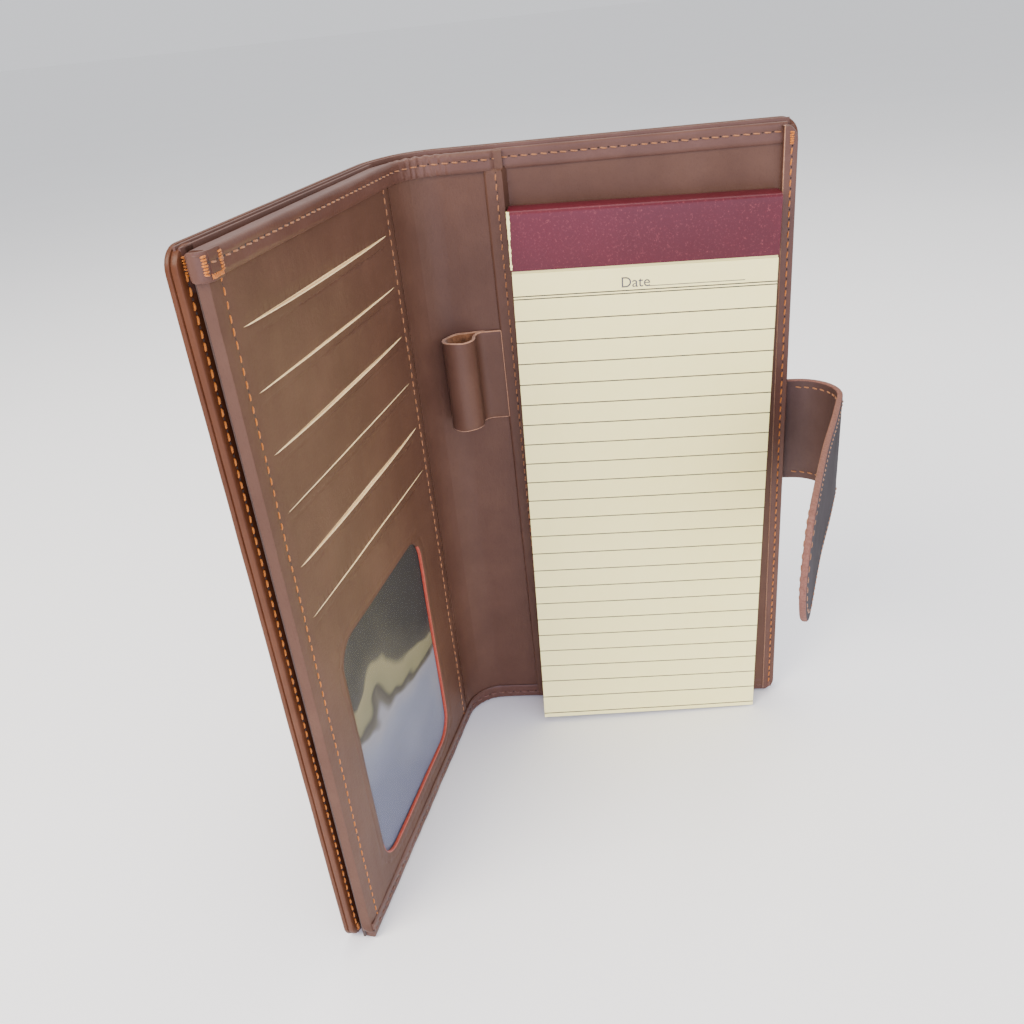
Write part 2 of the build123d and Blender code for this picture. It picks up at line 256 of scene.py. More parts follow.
def triangulate(outline, holes=(), step=(3.0, 4.0), guides=()):
    """Points and triangles of a flat region with holes. Guides are extra points for creases."""
    loops = [np.array(outline)] + [np.array(h) for h in holes]
    s0, z0 = loops[0].min(0)
    s1, z1 = loops[0].max(0)
    gs, gz = np.meshgrid(np.arange(s0 + step[0] / 2, s1, step[0]), np.arange(z0 + step[1] / 2, z1, step[1]))
    grid = np.stack([gs.ravel(), gz.ravel()], -1)
    grid = grid + noise_seed.uniform(-0.05, 0.05, grid.shape)
    extra = np.vstack([grid] + [np.array(g) for g in guides])
    keep = inside(extra, loops[0])
    for hole in loops[1:]:
        keep &= ~inside(extra, hole)
    extra = extra[keep]
    border = np.vstack(loops)
    near = np.ones(len(extra), bool)
    for i in range(0, len(border), 400):
        d = np.linalg.norm(extra[:, None] - border[None, i:i + 400], axis=-1).min(1)
        near &= d > 0.35
    extra = extra[near]
    points = np.vstack([border, extra])
    edges, start = [], 0
    for loop in loops:
        n = len(loop)
        edges += [(start + i, start + (i + 1) % n) for i in range(n)]
        start += n
    result = delaunay_2d_cdt([Vector(p) for p in points], edges, [], 0, 1e-5)
    verts = np.array([tuple(v) for v in result[0]])
    tris = np.array([f for f in result[2] if len(f) == 3])
    middle = verts[tris].mean(1)
    keep = inside(middle, loops[0])
    for hole in loops[1:]:
        keep &= ~inside(middle, hole)
    tris = tris[keep]
    a, b, c = verts[tris[:, 0]], verts[tris[:, 1]], verts[tris[:, 2]]
    area = (b[:, 0] - a[:, 0]) * (c[:, 1] - a[:, 1]) - (b[:, 1] - a[:, 1]) * (c[:, 0] - a[:, 0])
    tris = tris[np.abs(area) > 1e-6]
    area = area[np.abs(area) > 1e-6]
    tris[area < 0] = tris[area < 0][:, ::-1]
    used = np.unique(tris)
    remap = -np.ones(len(verts), int)
    remap[used] = np.arange(len(used))
    return verts[used], remap[tris]


RIM_RINGS = (-50, 0, 50)


def thick_sheet(name, place, flat, wall, materials, front=None, roundness=0.5, rim_slot=1, joins=()):
    """Closed sheet from a flat triangulation. place(s, z, depth) gives points; front gives the
    front face's depth at each point; the rim is rounded, in material rim_slot, but stays flat
    where the sheet joins the next one at the lengths in joins."""
    points, tris = flat
    n = len(points)
    s, z = points[:, 0], points[:, 1]
    base = np.zeros(n) if front is None else front(s, z)
    thick = np.full(n, wall) if np.isscalar(wall) else wall(s, z)
    following = {}
    for t in tris:
        for i in range(3):
            following[(t[i], t[(i + 1) % 3])] = True
    border = [(a, b) for a, b in following if (b, a) not in following]
    normal = np.zeros((n, 2))
    for a, b in border:
        d = points[b] - points[a]
        out = np.array([d[1], -d[0]]) / max(np.hypot(*d), 1e-9)
        normal[a] += out
        normal[b] += out
    size = np.hypot(normal[:, 0], normal[:, 1])
    rim = np.where(size > 0)[0]
    normal[rim] /= size[rim][:, None]
    verts = [place(s, z, base), place(s, z, base + thick)]
    rings = []
    index = -np.ones(n, int)
    index[rim] = np.arange(len(rim))
    for join in joins:
        meets = rim[np.abs(s[rim] - join) < 0.01]
        normal[meets] = np.column_stack([np.zeros(len(meets)), np.round(normal[meets, 1])])
    for k, angle in enumerate(RIM_RINGS):
        a = math.radians(angle)
        reach = roundness * thick[rim] * math.cos(a)
        deep = base[rim] + thick[rim] * (0.5 + 0.5 * math.sin(a))
        verts.append(place(s[rim] + normal[rim, 0] * reach, z[rim] + normal[rim, 1] * reach, deep))
        rings.append(2 * n + k * len(rim))
    # the front faces the inside of the wallet
    faces = [t[::-1] for t in tris] + [t + n for t in tris]
    slots = [0] * len(tris) + [2 if len(materials) > 2 else 0] * len(tris)
    for a, b in border:
        chain_a = [a] + [r + index[a] for r in rings] + [a + n]
        chain_b = [b] + [r + index[b] for r in rings] + [b + n]
        for i in range(len(chain_a) - 1):
            faces.append((chain_a[i], chain_b[i], chain_b[i + 1], chain_a[i + 1]))
            if callable(rim_slot):
                slots.append(rim_slot(points[a][0], points[a][1], i))
            else:
                slots.append(rim_slot if len(materials) > 1 else 0)
    return make_object(name, np.vstack(verts), faces, materials, slots)


def sweep(name, rings, materials):
    """Closed skin over a list of rings, each the same number of points, with flat ends."""
    rings = np.asarray(rings, float)
    count, m = rings.shape[:2]
    faces = []
    for i in range(count - 1):
        for k in range(m):
            l = (k + 1) % m
            faces.append((i * m + k, (i + 1) * m + k, (i + 1) * m + l, i * m + l))
    faces.append(tuple(range(m)))
    faces.append(tuple(range((count - 1) * m, count * m))[::-1])
    return make_object(name, rings.reshape(-1, 3), faces, materials)


def settle(piece, body=None, blend=None, replaces=(), slot=None):
    """Puts a piece on its body; a piece that lies across a joint only has its transform baked."""
    if blend:
        a, b, start, end = blend
        tuple(np.array(start) * MM)
        tuple(np.array(end) * MM)
        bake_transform(piece)
    elif body:
        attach(piece, body)
    if replaces:
        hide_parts(*replaces)
    return piece


def plan_point(path, s, d=0.0):
    """A point on a plan line as a 3-D list."""
    x, y = path.at(s, d)
    return [float(x), float(y), 0.0]


def ripple(points, scale, seed, octaves=3):
    """Smooth noise at points, about -1 to 1, from a few sines."""
    r = np.random.RandomState(seed)
    p = np.atleast_2d(points)
    total = np.zeros(len(p))
    for o in range(octaves):
        for _ in range(4):
            k = r.normal(size=p.shape[1]) * (2 ** o) / scale
            total += np.sin(p @ k * 2.2 + r.uniform(0, 6.28)) / (4 * 1.6 ** o) * 1.4
    return total


def smooth(t):
    """0 to 1 with soft ends."""
    t = np.clip(t, 0, 1)
    return t * t * (3 - 2 * t)


# ------------------------------------------------------------------ materials
class Stuff:
    """A material being made, with short calls that add and join its nodes."""

    def __init__(self, name):
        self.material = bpy.data.materials.new(name)
        self.material.use_nodes = True
        self.nodes = self.material.node_tree.nodes
        self.links = self.material.node_tree.links
        self.shader = self.nodes["Principled BSDF"]
        self.place = self.nodes.new("ShaderNodeTexCoord").outputs["Object"]

    def add(self, kind, feeds, **values):
        """A node. feeds are outputs that go into its inputs; values are its inputs or settings."""
        node = self.nodes.new("ShaderNode" + kind)
        for key, value in values.items():
            if key in node.inputs:
                node.inputs[key].default_value = value
            else:
                setattr(node, key, value)
        for key, output in feeds.items():
            self.links.new(output, node.inputs[key])
        return node

    def noise(self, scale, where=None, output="Fac", **values):
        """Noise over the object, or over other coordinates."""
        return self.add("TexNoise", {"Vector": where or self.place}, Scale=scale, **values).outputs[output]

    def cells(self, scale):
        """Distance from the middle of small cells."""
        return self.add("TexVoronoi", {"Vector": self.place}, Scale=scale).outputs["Distance"]

    def stretched(self, scale):
        """The object's coordinates, scaled along each axis."""
        return self.add("Mapping", {"Vector": self.place}, Scale=scale).outputs["Vector"]

    def split(self, vector):
        """The outputs X, Y and Z of a vector."""
        return self.add("SeparateXYZ", {"Vector": vector}).outputs

    def math(self, operation, *terms):
        """Result of an operation on numbers and outputs."""
        node = self.add("Math", {}, operation=operation)
        for i, term in enumerate(terms):
            if isinstance(term, (int, float)):
                node.inputs[i].default_value = term
            else:
                self.links.new(term, node.inputs[i])
        return node.outputs["Value"]

    def spread(self, value, **limits):
        """A value carried from one range to another."""
        named = {key.replace("_", " ").title(): limit for key, limit in limits.items()}
        return self.add("MapRange", {"Value": value}, **named).outputs["Result"]

    def ramp(self, source, *stops):
        """Colour of a value, by (place, colour) stops."""
        node = self.add("ValToRGB", {"Fac": source})
        elements = node.color_ramp.elements
        while len(elements) < len(stops):
            elements.new(0.5)
        for element, (place, colour) in zip(elements, stops):
            element.position = place
            element.color = colour
        return node.outputs["Color"]

    def mix(self, colours, **values):
        """Mix of two colours."""
        return self.add("MixRGB", colours, **values).outputs["Color"]

    def bump(self, height, strength, distance, under=None):
        """Normal of a height, on top of another normal if there is one."""
        feeds = {"Height": height}
        if under:
            feeds["Normal"] = under
        return self.add("Bump", feeds, Strength=strength, Distance=distance).outputs["Normal"]

    def finish(self, feeds, values):
        """Joins outputs to the shader, sets its plain values and gives the material."""
        for key, output in feeds.items():
            self.links.new(output, self.shader.inputs[key])
        for key, value in values.items():
            self.shader.inputs[key].default_value = value
        return self.material


def grey(value):
    """Opaque grey in linear light."""
    return (value, value, value, 1)


def srgb(r, g, b):
    """Linear colour of an 8-bit sRGB one."""
    def linear(c):
        c /= 255
        return c / 12.92 if c <= 0.04045 else ((c + 0.055) / 1.055) ** 2.4
    return (linear(r), linear(g), linear(b), 1)


PORE_SCALE = 900.0
PORE_DEPTH = 0.00006
CREASE_DEPTH = 0.0004


def leather(name, dark, mid, light, rough=0.42, gloss=0.16, coat=0.0):
    """Smooth grained leather: mottled colour, fine pores and faint creases."""
    stuff = Stuff(name)
    mottle = stuff.noise(38.0, Detail=5.0, Roughness=0.6)
    colours = stuff.ramp(mottle, (0.3, dark), (0.52, mid), (0.75, light))
    pores = stuff.cells(PORE_SCALE)
    fine = stuff.noise(PORE_SCALE * 1.7, Detail=3.0)
    # pores darken the colour a little
    dots = stuff.ramp(pores, (0.0, grey(0.82)), (0.35, grey(1)))
    tint = stuff.mix({"Color1": colours, "Color2": dots}, blend_type="MULTIPLY", Fac=0.5)
    creases = stuff.noise(2.0, stuff.stretched((60, 60, 14)), Detail=6.0, Roughness=0.65)
    worn = stuff.spread(creases, to_min=rough - 0.07, to_max=rough + 0.12)
    grain = stuff.bump(stuff.math("MULTIPLY_ADD", pores, 0.5, fine), 0.55, PORE_DEPTH)
    normal = stuff.bump(creases, 0.5, CREASE_DEPTH, grain)
    return stuff.finish({"Base Color": tint, "Roughness": worn, "Normal": normal},
                        {"Specular IOR Level": gloss, "Coat Weight": coat, "Coat Roughness": 0.35})


def fibrous(name, dark, light, scale=1400.0, rough=0.9, stretch=(1, 1, 1), bump_mm=0.12, sheen=0.2):
    """Rough fibrous stuff: suede, raw edges, board, cloth or thread."""
    stuff = Stuff(name)
    texture = stuff.noise(scale, stuff.stretched(stretch), Detail=4.0, Roughness=0.7)
    colours = stuff.ramp(texture, (0.3, dark), (0.7, light))
    return stuff.finish({"Base Color": colours, "Normal": stuff.bump(texture, 0.7, bump_mm * MM)},
                        {"Roughness": rough, "Sheen Weight": sheen, "Specular IOR Level": 0.3})


LINE_PITCH = 7.08
LINE_WIDTH = 0.36
RULES_STOP = 2.4                    # the repeated rules end this far above the highest of them


def paper(name, highest_rule=None, single_rules=()):
    """Cream note paper, ruled downwards from its highest repeated rule. Heights are on the sheet."""
    stuff = Stuff(name)
    fibre = stuff.noise(260.0, Detail=6.0, Roughness=0.7)
    stain = stuff.noise(16.0, Detail=3.0)
    mixed = stuff.math("MULTIPLY_ADD", fibre, 0.35, stuff.math("MULTIPLY", stain, 0.65))
    colour = stuff.ramp(mixed, (0.25, (0.90, 0.81, 0.32, 1)), (0.75, (0.97, 0.88, 0.40, 1)))
    if highest_rule:
        up = stuff.split(stuff.add("UVMap", {}, uv_map="sheet").outputs["UV"])["Y"]
        phase = stuff.math("ADD", up, LINE_PITCH / 2 - highest_rule)
        wrap = stuff.math("FLOORED_MODULO", phase, LINE_PITCH)
        hit = stuff.math("COMPARE", wrap, LINE_PITCH / 2, LINE_WIDTH / 2)
        mask = stuff.math("MULTIPLY", hit, stuff.math("LESS_THAN", up, highest_rule + RULES_STOP))
        for rule in single_rules:
            mask = stuff.math("MAXIMUM", mask, stuff.math("COMPARE", up, rule, LINE_WIDTH / 2))
        colour = stuff.mix({"Fac": mask, "Color1": colour}, Color2=srgb(44, 40, 48))
    return stuff.finish({"Base Color": colour, "Normal": stuff.bump(fibre, 0.25, 0.00008)},
                        {"Roughness": 0.72, "Specular IOR Level": 0.3})


def paper_edges():
    """The side of a stack of sheets: fine layers in depth."""
    stuff = Stuff("paper_edges")
    layers = stuff.noise(1.0, stuff.stretched((12, 6200, 12)), Detail=2.0, Roughness=0.4)
    colours = stuff.ramp(layers, (0.35, srgb(176, 166, 136)), (0.6, srgb(232, 226, 198)))
    return stuff.finish({"Base Color": colours, "Normal": stuff.bump(layers, 0.5, 0.0001)}, {"Roughness": 0.85})


def head_cover_material():
    """Burgundy coated paper with a fine pressed grain and worn flecks."""
    stuff = Stuff("head_cover")
    base = stuff.ramp(stuff.noise(30.0, Detail=4.0), (0.3, srgb(66, 6, 19)), (0.7, srgb(80, 12, 28)))
    flecks = stuff.noise(1300.0, Detail=3.0, Roughness=0.8)
    spots = stuff.ramp(flecks, (0.56, grey(0)), (0.74, (0.6, 0.6, 0.6, 1)))
    colour = stuff.mix({"Fac": spots, "Color1": base}, Color2=srgb(134, 62, 66))
    return stuff.finish({"Base Color": colour, "Normal": stuff.bump(stuff.cells(1500.0), 0.45, 0.00005)},
                        {"Roughness": 0.4, "Specular IOR Level": 0.25, "Coat Weight": 0.08, "Coat Roughness": 0.3})


def film_material():
    """Thin clear window film."""
    stuff = Stuff("clear_film")
    waves = stuff.noise(22.0, Detail=2.0)
    tone = stuff.ramp(waves, (0.0, (0.050, 0.054, 0.062, 1)), (1.0, (0.060, 0.064, 0.072, 1)))
    return stuff.finish({"Base Color": tone, "Normal": stuff.bump(waves, 0.5, 0.0007)},
                        {"Roughness": 0.16, "Alpha": 0.03, "Specular IOR Level": 0.12})


def insert_material():
    """Generic printed insert: soft abstract patches in dark grey, blue-grey and cream."""
    stuff = Stuff("insert_card")
    warp = stuff.noise(14.0, output="Color", Detail=2.0)
    bend = stuff.add("VectorMath", {0: warp, 2: stuff.place}, operation="MULTIPLY_ADD")
    bend.inputs[1].default_value = (0.05, 0.05, 0.05)
    patches = stuff.noise(19.0, bend.outputs["Vector"], Detail=3.0, Roughness=0.5)
    places = stuff.split(stuff.place)
    rise = stuff.spread(places["Z"], from_min=0.012, from_max=0.100, to_min=-0.40, to_max=0.50)
    across = stuff.spread(places["Y"], from_min=-0.098, from_max=-0.04, to_min=-0.24, to_max=0.20)
    total = stuff.math("ADD", patches, stuff.math("ADD", rise, across))
    colours = stuff.ramp(total, (0.10, srgb(98, 102, 122)), (0.36, srgb(118, 122, 138)), (0.47, srgb(132, 132, 140)),
                         (0.50, srgb(84, 80, 74)), (0.53, srgb(64, 62, 58)), (0.56, srgb(116, 112, 86)),
                         (0.68, srgb(128, 122, 94)), (0.71, srgb(68, 66, 62)), (0.84, srgb(50, 49, 50)))
    return stuff.finish({"Base Color": colours}, {"Roughness": 0.5, "Specular IOR Level": 0.15})


def metal_material():
    """Brushed antique brass for the snap."""
    stuff = Stuff("snap_metal")
    tone = stuff.ramp(stuff.noise(900.0, Detail=4.0), (0.3, srgb(126, 100, 66)), (0.7, srgb(184, 156, 112)))
    return stuff.finish({"Base Color": tone}, {"Metallic": 1.0, "Roughness": 0.34})


def floor_material():
    """Pale, nearly plain."""
    stuff = Stuff("floor")
    colours = stuff.ramp(stuff.noise(6.0, Detail=2.0), (0.0, grey(0.93)), (1.0, grey(0.96)))
    return stuff.finish({"Base Color": colours}, {"Roughness": 0.9})


inner_leather = leather("inner_leather", srgb(77, 52, 41), srgb(84, 58, 46), srgb(92, 65, 52))
band_leather = leather("binding_leather", srgb(76, 50, 41), srgb(85, 57, 47), srgb(96, 67, 57),
                       rough=0.36, gloss=0.2, coat=0.03)
outer_leather = leather("outer_leather", srgb(74, 40, 23), srgb(82, 46, 27), srgb(92, 55, 36), rough=0.36, coat=0.06)
# the strap's outside is a neutral grey: painted shade and a painted bluish reflection over what is dark brown
# leather
strap_outside_painted_shade = leather("strap_outside_painted_shade", srgb(58, 54, 55), srgb(66, 62, 64), srgb(74, 70, 73), rough=0.8, gloss=0.02)
strap_inside = leather("strap_inside", srgb(66, 48, 44), srgb(75, 56, 52), srgb(84, 64, 60), rough=0.45)
# darker than the inner leather: painted shade of the valley between the leaf and the cover
gusset_painted_shade = leather("gusset_shaded_leather", srgb(50, 25, 14), srgb(62, 33, 21), srgb(74, 42, 29), rough=0.5)
raw_edge = fibrous("raw_edge", srgb(150, 104, 76), srgb(190, 144, 112))
pink_edge = fibrous("pink_edge", srgb(92, 58, 49), srgb(128, 88, 76), sheen=0.0)
suede = fibrous("suede", srgb(96, 58, 34), srgb(150, 100, 62), scale=700.0, bump_mm=0.4, sheen=0.5)
slot_edge = fibrous("slot_edge", srgb(232, 196, 134), srgb(255, 232, 184), sheen=0.0)
red_edge = fibrous("red_edge", srgb(132, 44, 26), srgb(168, 66, 44), rough=0.55)
cloth = fibrous("bill_lining", srgb(44, 30, 24), srgb(66, 46, 38), scale=2200.0, stretch=(1, 1, 3))
board = fibrous("board", srgb(112, 88, 66), srgb(150, 124, 98), scale=500.0)
THREAD_SCALE = 2600.0
orange_thread = fibrous("orange_thread", srgb(146, 76, 10), srgb(198, 116, 24), THREAD_SCALE, 0.55)
tan_thread = fibrous("tan_thread", srgb(124, 74, 40), srgb(168, 112, 66), THREAD_SCALE, 0.55)
faded_thread = fibrous("faded_thread", srgb(86, 54, 44), srgb(120, 80, 66), THREAD_SCALE, 0.6)
# near-black: painted shade inside the stitch holes
hole_painted_shade = fibrous("stitch_hole_shade", srgb(30, 16, 10), srgb(44, 26, 18))
ink = fibrous("ink", srgb(70, 68, 76), srgb(88, 86, 94), scale=300.0, bump_mm=0.005, sheen=0.0)
plain_paper = paper("note_paper")
edge_paper = paper_edges()
head_cover = head_cover_material()
film = film_material()
insert = insert_material()
brass = metal_material()


# ------------------------------------------------------------------ stitching
PITCH = 3.0
THREAD = 0.23
HOLE_SIDES = 8


LEAN = 0.12                         # each stitch leans a little across its seam
LIFT = 0.10                         # and stands this far out in its middle


def stitches(name, line, length, thread, blend=None, body=None, thread_size=THREAD):
    """A row of single stitches. line(t) gives a point, the direction along the seam and the way out."""
    verts, faces, slots = [], [], []
    sides, rows = 7, 7
    count = max(1, round(length / PITCH))
    pitch = length / count
    for i in range(count):
        point, along, out = (np.array(v, float) for v in line((i + 0.5) * pitch + rng.uniform(-0.12, 0.12)))
        along /= np.linalg.norm(along)
        out /= np.linalg.norm(out)
        across = np.cross(along, out)
        along = along + across * (LEAN + rng.uniform(-0.05, 0.05))
        along /= np.linalg.norm(along)
        across = np.cross(along, out)
        half = pitch * rng.uniform(0.36, 0.41)
        first = len(verts)
        for r in range(rows):
            u = -1 + 2 * r / (rows - 1)
            size = thread_size * (math.sqrt(max(0, 1 - abs(u) ** 3.2)) * 0.85 + 0.15)
            size *= rng.uniform(0.94, 1.04)
            sink = LIFT - 0.42 * abs(u) ** 4
            centre = point + along * half * u + out * sink
            for k in range(sides):
                a = 2 * math.pi * k / sides
                verts.append(centre + across * math.cos(a) * size + out * math.sin(a) * size)
        for r in range(rows - 1):
            for k in range(sides):
                l = (k + 1) % sides
                a, b = first + r * sides, first + (r + 1) * sides
                faces.append((a + k, a + l, b + l, b + k))
                slots.append(0)
        faces.append(tuple(first + k for k in range(sides))[::-1])
        faces.append(tuple(first + (rows - 1) * sides + k for k in range(sides)))
        slots += [0, 0]
        # the hole where the thread goes down: a capped plug whose near-black colour is painted shade
        hole = len(verts)
        centre = point + along * (pitch * 0.5) + out * 0.04
        for deep, long, wide in ((0, 0.30, 0.26), (0.5, 0.2, 0.2)):
            for a in 2 * math.pi * np.arange(HOLE_SIDES) / HOLE_SIDES:
                verts.append(centre - out * deep + along * math.cos(a) * long + across * math.sin(a) * wide)
        far = hole + HOLE_SIDES
        faces.append(tuple(hole + k for k in range(HOLE_SIDES)))
        faces.append(tuple(far + k for k in range(HOLE_SIDES))[::-1])
        for k in range(HOLE_SIDES):
            l = (k + 1) % HOLE_SIDES
            faces.append((hole + k, far + k, far + l, hole + l))
        slots += [1] * (HOLE_SIDES + 2)
    piece = make_object(name, verts, faces, [thread, hole_painted_shade], slots, sharp=60)
    settle(piece, body, blend)
    return piece


SPREAD = 3.6                        # half the length over which leather bends at a fold
first_fold_s = FOLD_X + TURN_RADIUS * math.radians(20)
second_fold_s = FOLD_X + TURN_RADIUS * math.radians(60)


def fold_blend(path, name):
    """What blend needs at each of the folds, for a sheet on this plan line."""
    scale = 1.0 if path is inner else shell_radius / TURN_RADIUS
    folds = {
        "right": ("right_cover", "spine", -FOLD_X - SPREAD, -FOLD_X + SPREAD),
        "first": ("spine", "spine_turn", FOLD_X + (first_fold_s - FOLD_X) * scale - SPREAD,
                  FOLD_X + (first_fold_s - FOLD_X) * scale + SPREAD),
        "second": ("spine_turn", "left_cover", FOLD_X + (second_fold_s - FOLD_X) * scale - SPREAD,
                   FOLD_X + (second_fold_s - FOLD_X) * scale + SPREAD),
        "leaf": ("left_cover", "left_leaf", LEAF_S - 1.6, LEAF_S + 1.2),
    }
    a, b, s0, s1 = folds[name]
    return a, b, plan_point(path, s0), plan_point(path, s1)


# ------------------------------------------------------------------ inner leather of the spine
def on(path):
    """place() for a sheet that follows a plan line."""
    def place(s, z, d):
        xy = path.at(s, d)
        return np.column_stack([xy, z])
    return place


def spine_face(s, z):
    """Slight waves in the spine lining."""
    wave = ripple(np.column_stack([s * 0.5, z * 0.12]), 9.0, 3, 1)
    return 0.05 * wave * smooth((z - FOOT) / 20)


FIRST_JOIN = -0.6                   # lengths where one bending piece ends and the next begins
LEAF_JOIN = LEAF_S - 2.0
zones = [("right", -POCKET_X - 6, FIRST_JOIN), ("first", FIRST_JOIN, MIDDLE_S), ("second", MIDDLE_S, LEAF_JOIN),
         ("leaf", LEAF_JOIN, LEAF_S + 4)]
lining_nodes = {"right": ["spine_lining"], "first": ["spine_turn_lining"],
                "second": ["left_hinge_lining"]}
for zone, s0, s1 in zones:
    outline = rounded_outline(s0, s1, FOOT + 0.6, TOP - 0.8, SQUARE, 3)
    sunk = 0.35 if zone == "leaf" else 0
    piece = thick_sheet("spine_lining_" + zone, on(inner), triangulate(outline, step=(1.2, 4.5)), 1.0,
                        [inner_leather], lambda s, z, sunk=sunk: spine_face(s, z) + sunk, joins=(s0, s1))
    settle(piece, blend=fold_blend(inner, zone), replaces=lining_nodes.get(zone, ()), slot="inner_leather")


# ------------------------------------------------------------------ top and foot bindings
LEAF_EDGE_S = LEAF_S + LEAF_WIDTH
SEAM_LINE = 2.7                     # stitch row below the top edge


def level(depth):
    """The front of a flat sheet at one depth."""
    return lambda s, z: np.full(len(s), depth)


def between(s, s0, s1, a, b):
    """a before s0, b after s1."""
    return a + (b - a) * smooth((s - s0) / (s1 - s0))


def band_front(s):
    """Depth of the top binding's front on the inner line."""
    return between(s, -POCKET_X - 5.2, -POCKET_X - 2.0, RIGHT_D + 2.15, RIGHT_D - 0.1)


def band_back(s):
    """Depth of the bindings' back."""
    right = between(s, -POCKET_X, -FOLD_X + 2, RIGHT_D + 3.7, 1.6)
    return between(s, LEAF_S - 6, LEAF_S + 3, right, LEAF_BACK + 0.55)


def gather(s):
    """How strongly the top binding is gathered, most where the spine turns."""
    return np.exp(-((s - 9.0) / 8.0) ** 2)


def band_ring(s, z_edge, sign, front, back, wrinkle):
    """Cross-section of a binding at s: flap, roll and back. sign is +1 for the top, -1 for the foot."""
    width = back - front
    r = min(1.1, width * 0.45)
    rows = [(0.55, -BAND + 0.1), (0.2, -BAND - 0.02), (0.0, -BAND + 0.35), (-0.06, -BAND + 1.3),
            (0.06, -SEAM_LINE - 0.55), (0.16, -SEAM_LINE), (0.05, -SEAM_LINE + 0.55), (-0.05, -r - 0.5)]
    ring = [(front + d, z) for d, z in rows]
    for a in np.radians(np.linspace(180, 90, 5)):
        ring.append((front + r + r * math.cos(a), -r + r * math.sin(a)))
    for a in np.radians(np.linspace(90, 0, 5)):
        ring.append((back - r + r * math.cos(a), -r + r * math.sin(a)))
    ring += [(back, -BAND * 0.6), (back, -BAND + 0.1)]
    amount = gather(s) * wrinkle
    out = []
    for i, (d, z) in enumerate(ring):
        fold = math.sin(s * 2.35 + 0.35 * z + 0.8 * math.sin(s * 0.55))
        fold += 0.6 * math.sin(s * 4.1 - 0.5 * z + 1.0)
        shift = 0.14 * amount * fold * smooth((back - d) / width)
        soft = 0.05 * math.sin(s * 0.21 + 0.9 * i) + 0.04 * math.sin(s * 0.63 + 2.0)
        xy = inner.at(s, d + shift + soft * (z > -BAND + 0.5))
        dz = 0.18 * amount * math.sin(s * 2.0 + 1.0) * smooth(1 + z / 2.0)
        out.append((float(xy[0]), float(xy[1]), z_edge + sign * (z + dz)))
    return out if sign > 0 else out[::-1]


def binding(name, s0, s1, z_edge, sign, zone, replaces, step, front=band_front, wrinkle=1.0):
    """A stretch of top or foot binding."""
    stations = np.linspace(s0, s1, max(3, int(abs(s1 - s0) / step)))
    rings = [band_ring(s, z_edge, sign, float(front(s)), float(band_back(s)), wrinkle) for s in stations]
    piece = sweep(name, rings, [band_leather])
    settle(piece, blend=fold_blend(inner, zone), replaces=replaces, slot="binding_leather")
    return piece


def foot_front(s):
    """The foot binding's front, flush with the pocket panel's face on the right."""
    return between(s, -POCKET_X - 4, -POCKET_X + 1, RIGHT_D - 0.05, -0.6)


band_zones = [("right", -PANEL_X1 - 1.0, FIRST_JOIN, ["right_{}_binding", "spine_{}_binding"]),
              ("first", FIRST_JOIN, MIDDLE_S, ["spine_turn_{}_binding"]),
              ("second", MIDDLE_S, LEAF_JOIN, ["left_hinge_{}_binding"]),
              ("leaf", LEAF_JOIN, LEAF_EDGE_S - 1.3, ["leaf_{}_binding"])]
FINE_STEP, MIDDLE_STEP, WIDE_STEP = 0.35, 0.6, 1.6
for zone, s0, s1, stands_for in band_zones:
    step = WIDE_STEP if zone in ("right", "leaf") else FINE_STEP
    binding("top_binding_" + zone, s0, s1, TOP, 1, zone, [n.format("top") for n in stands_for],
            MIDDLE_STEP if zone == "right" else step)
    binding("foot_binding_" + zone, s0, s1, FOOT, -1, zone, [n.format("foot") for n in stands_for],
            step, foot_front, wrinkle=0.4)


def band_line(begin, z, front):
    """Seam line for stitches along a binding, from the length begin on the inner line."""
    def surface(s):
        xy = inner.at(s, float(front(s)) + 0.1)
        return np.array([float(xy[0]), float(xy[1]), z])

    def line(t):
        s = begin + t
        along = inner.tangent(np.array(s))
        return surface(s), surface(s + 0.3) - surface(s - 0.3), (-along[1], along[0], 0.0)
    return line


for label, z, front, thread in (("top", TOP - SEAM_LINE, band_front, tan_thread),
                                ("foot", FOOT + SEAM_LINE, foot_front, faded_thread)):
    for zone, s0, s1, _ in band_zones:
        low = s0 + (1.2 if zone == "right" else 0)
        stitches("%s_stitches_%s" % (label, zone), band_line(low, z, front), s1 - low, thread,
                 blend=fold_blend(inner, zone))


# ------------------------------------------------------------------ right cover
def right_place(x, z, d):
    """Point on the right cover: x, height, depth behind the pocket panel's face."""
    return np.column_stack([x, FACE + d, z])


BOARD_CLEAR = 2.75                  # upper leather stays behind the notepad's board
FOLD_ROLL = 0.75
BAND_STEP = TOP - BAND + 0.1        # the panel sinks under the top binding above this
SLIT_X0 = head_low[0] - 1.0
RECESS_RUN = 1.3
POCKET_SEAM = 3.6                   # stitch row from the pocket's fold


def panel_front(x, z):
    """The pocket panel; above its slit it sinks behind the notepad's board."""
    beside = smooth((x - SLIT_X0) / RECESS_RUN)
    under_band = smooth((z - BAND_STEP) / 0.8) * (band_front(-x) - RIGHT_D + 0.5)
    deep = np.where(z > SLIT + 0.2, np.maximum(beside * BOARD_CLEAR, under_band), 0)
    seam = 0.14 * np.exp(-((x - POCKET_X - POCKET_SEAM) / 0.6) ** 2)
    away = smooth((x - POCKET_X - FOLD_ROLL) / 2)
    return deep + seam + 0.05 * away * ripple(np.column_stack([x, z]) * 0.1, 3.0, 5)


def upright(x, z0, z1, step):
    """Row of points up a line."""
    return [(x, z) for z in np.arange(z0, z1, step)]


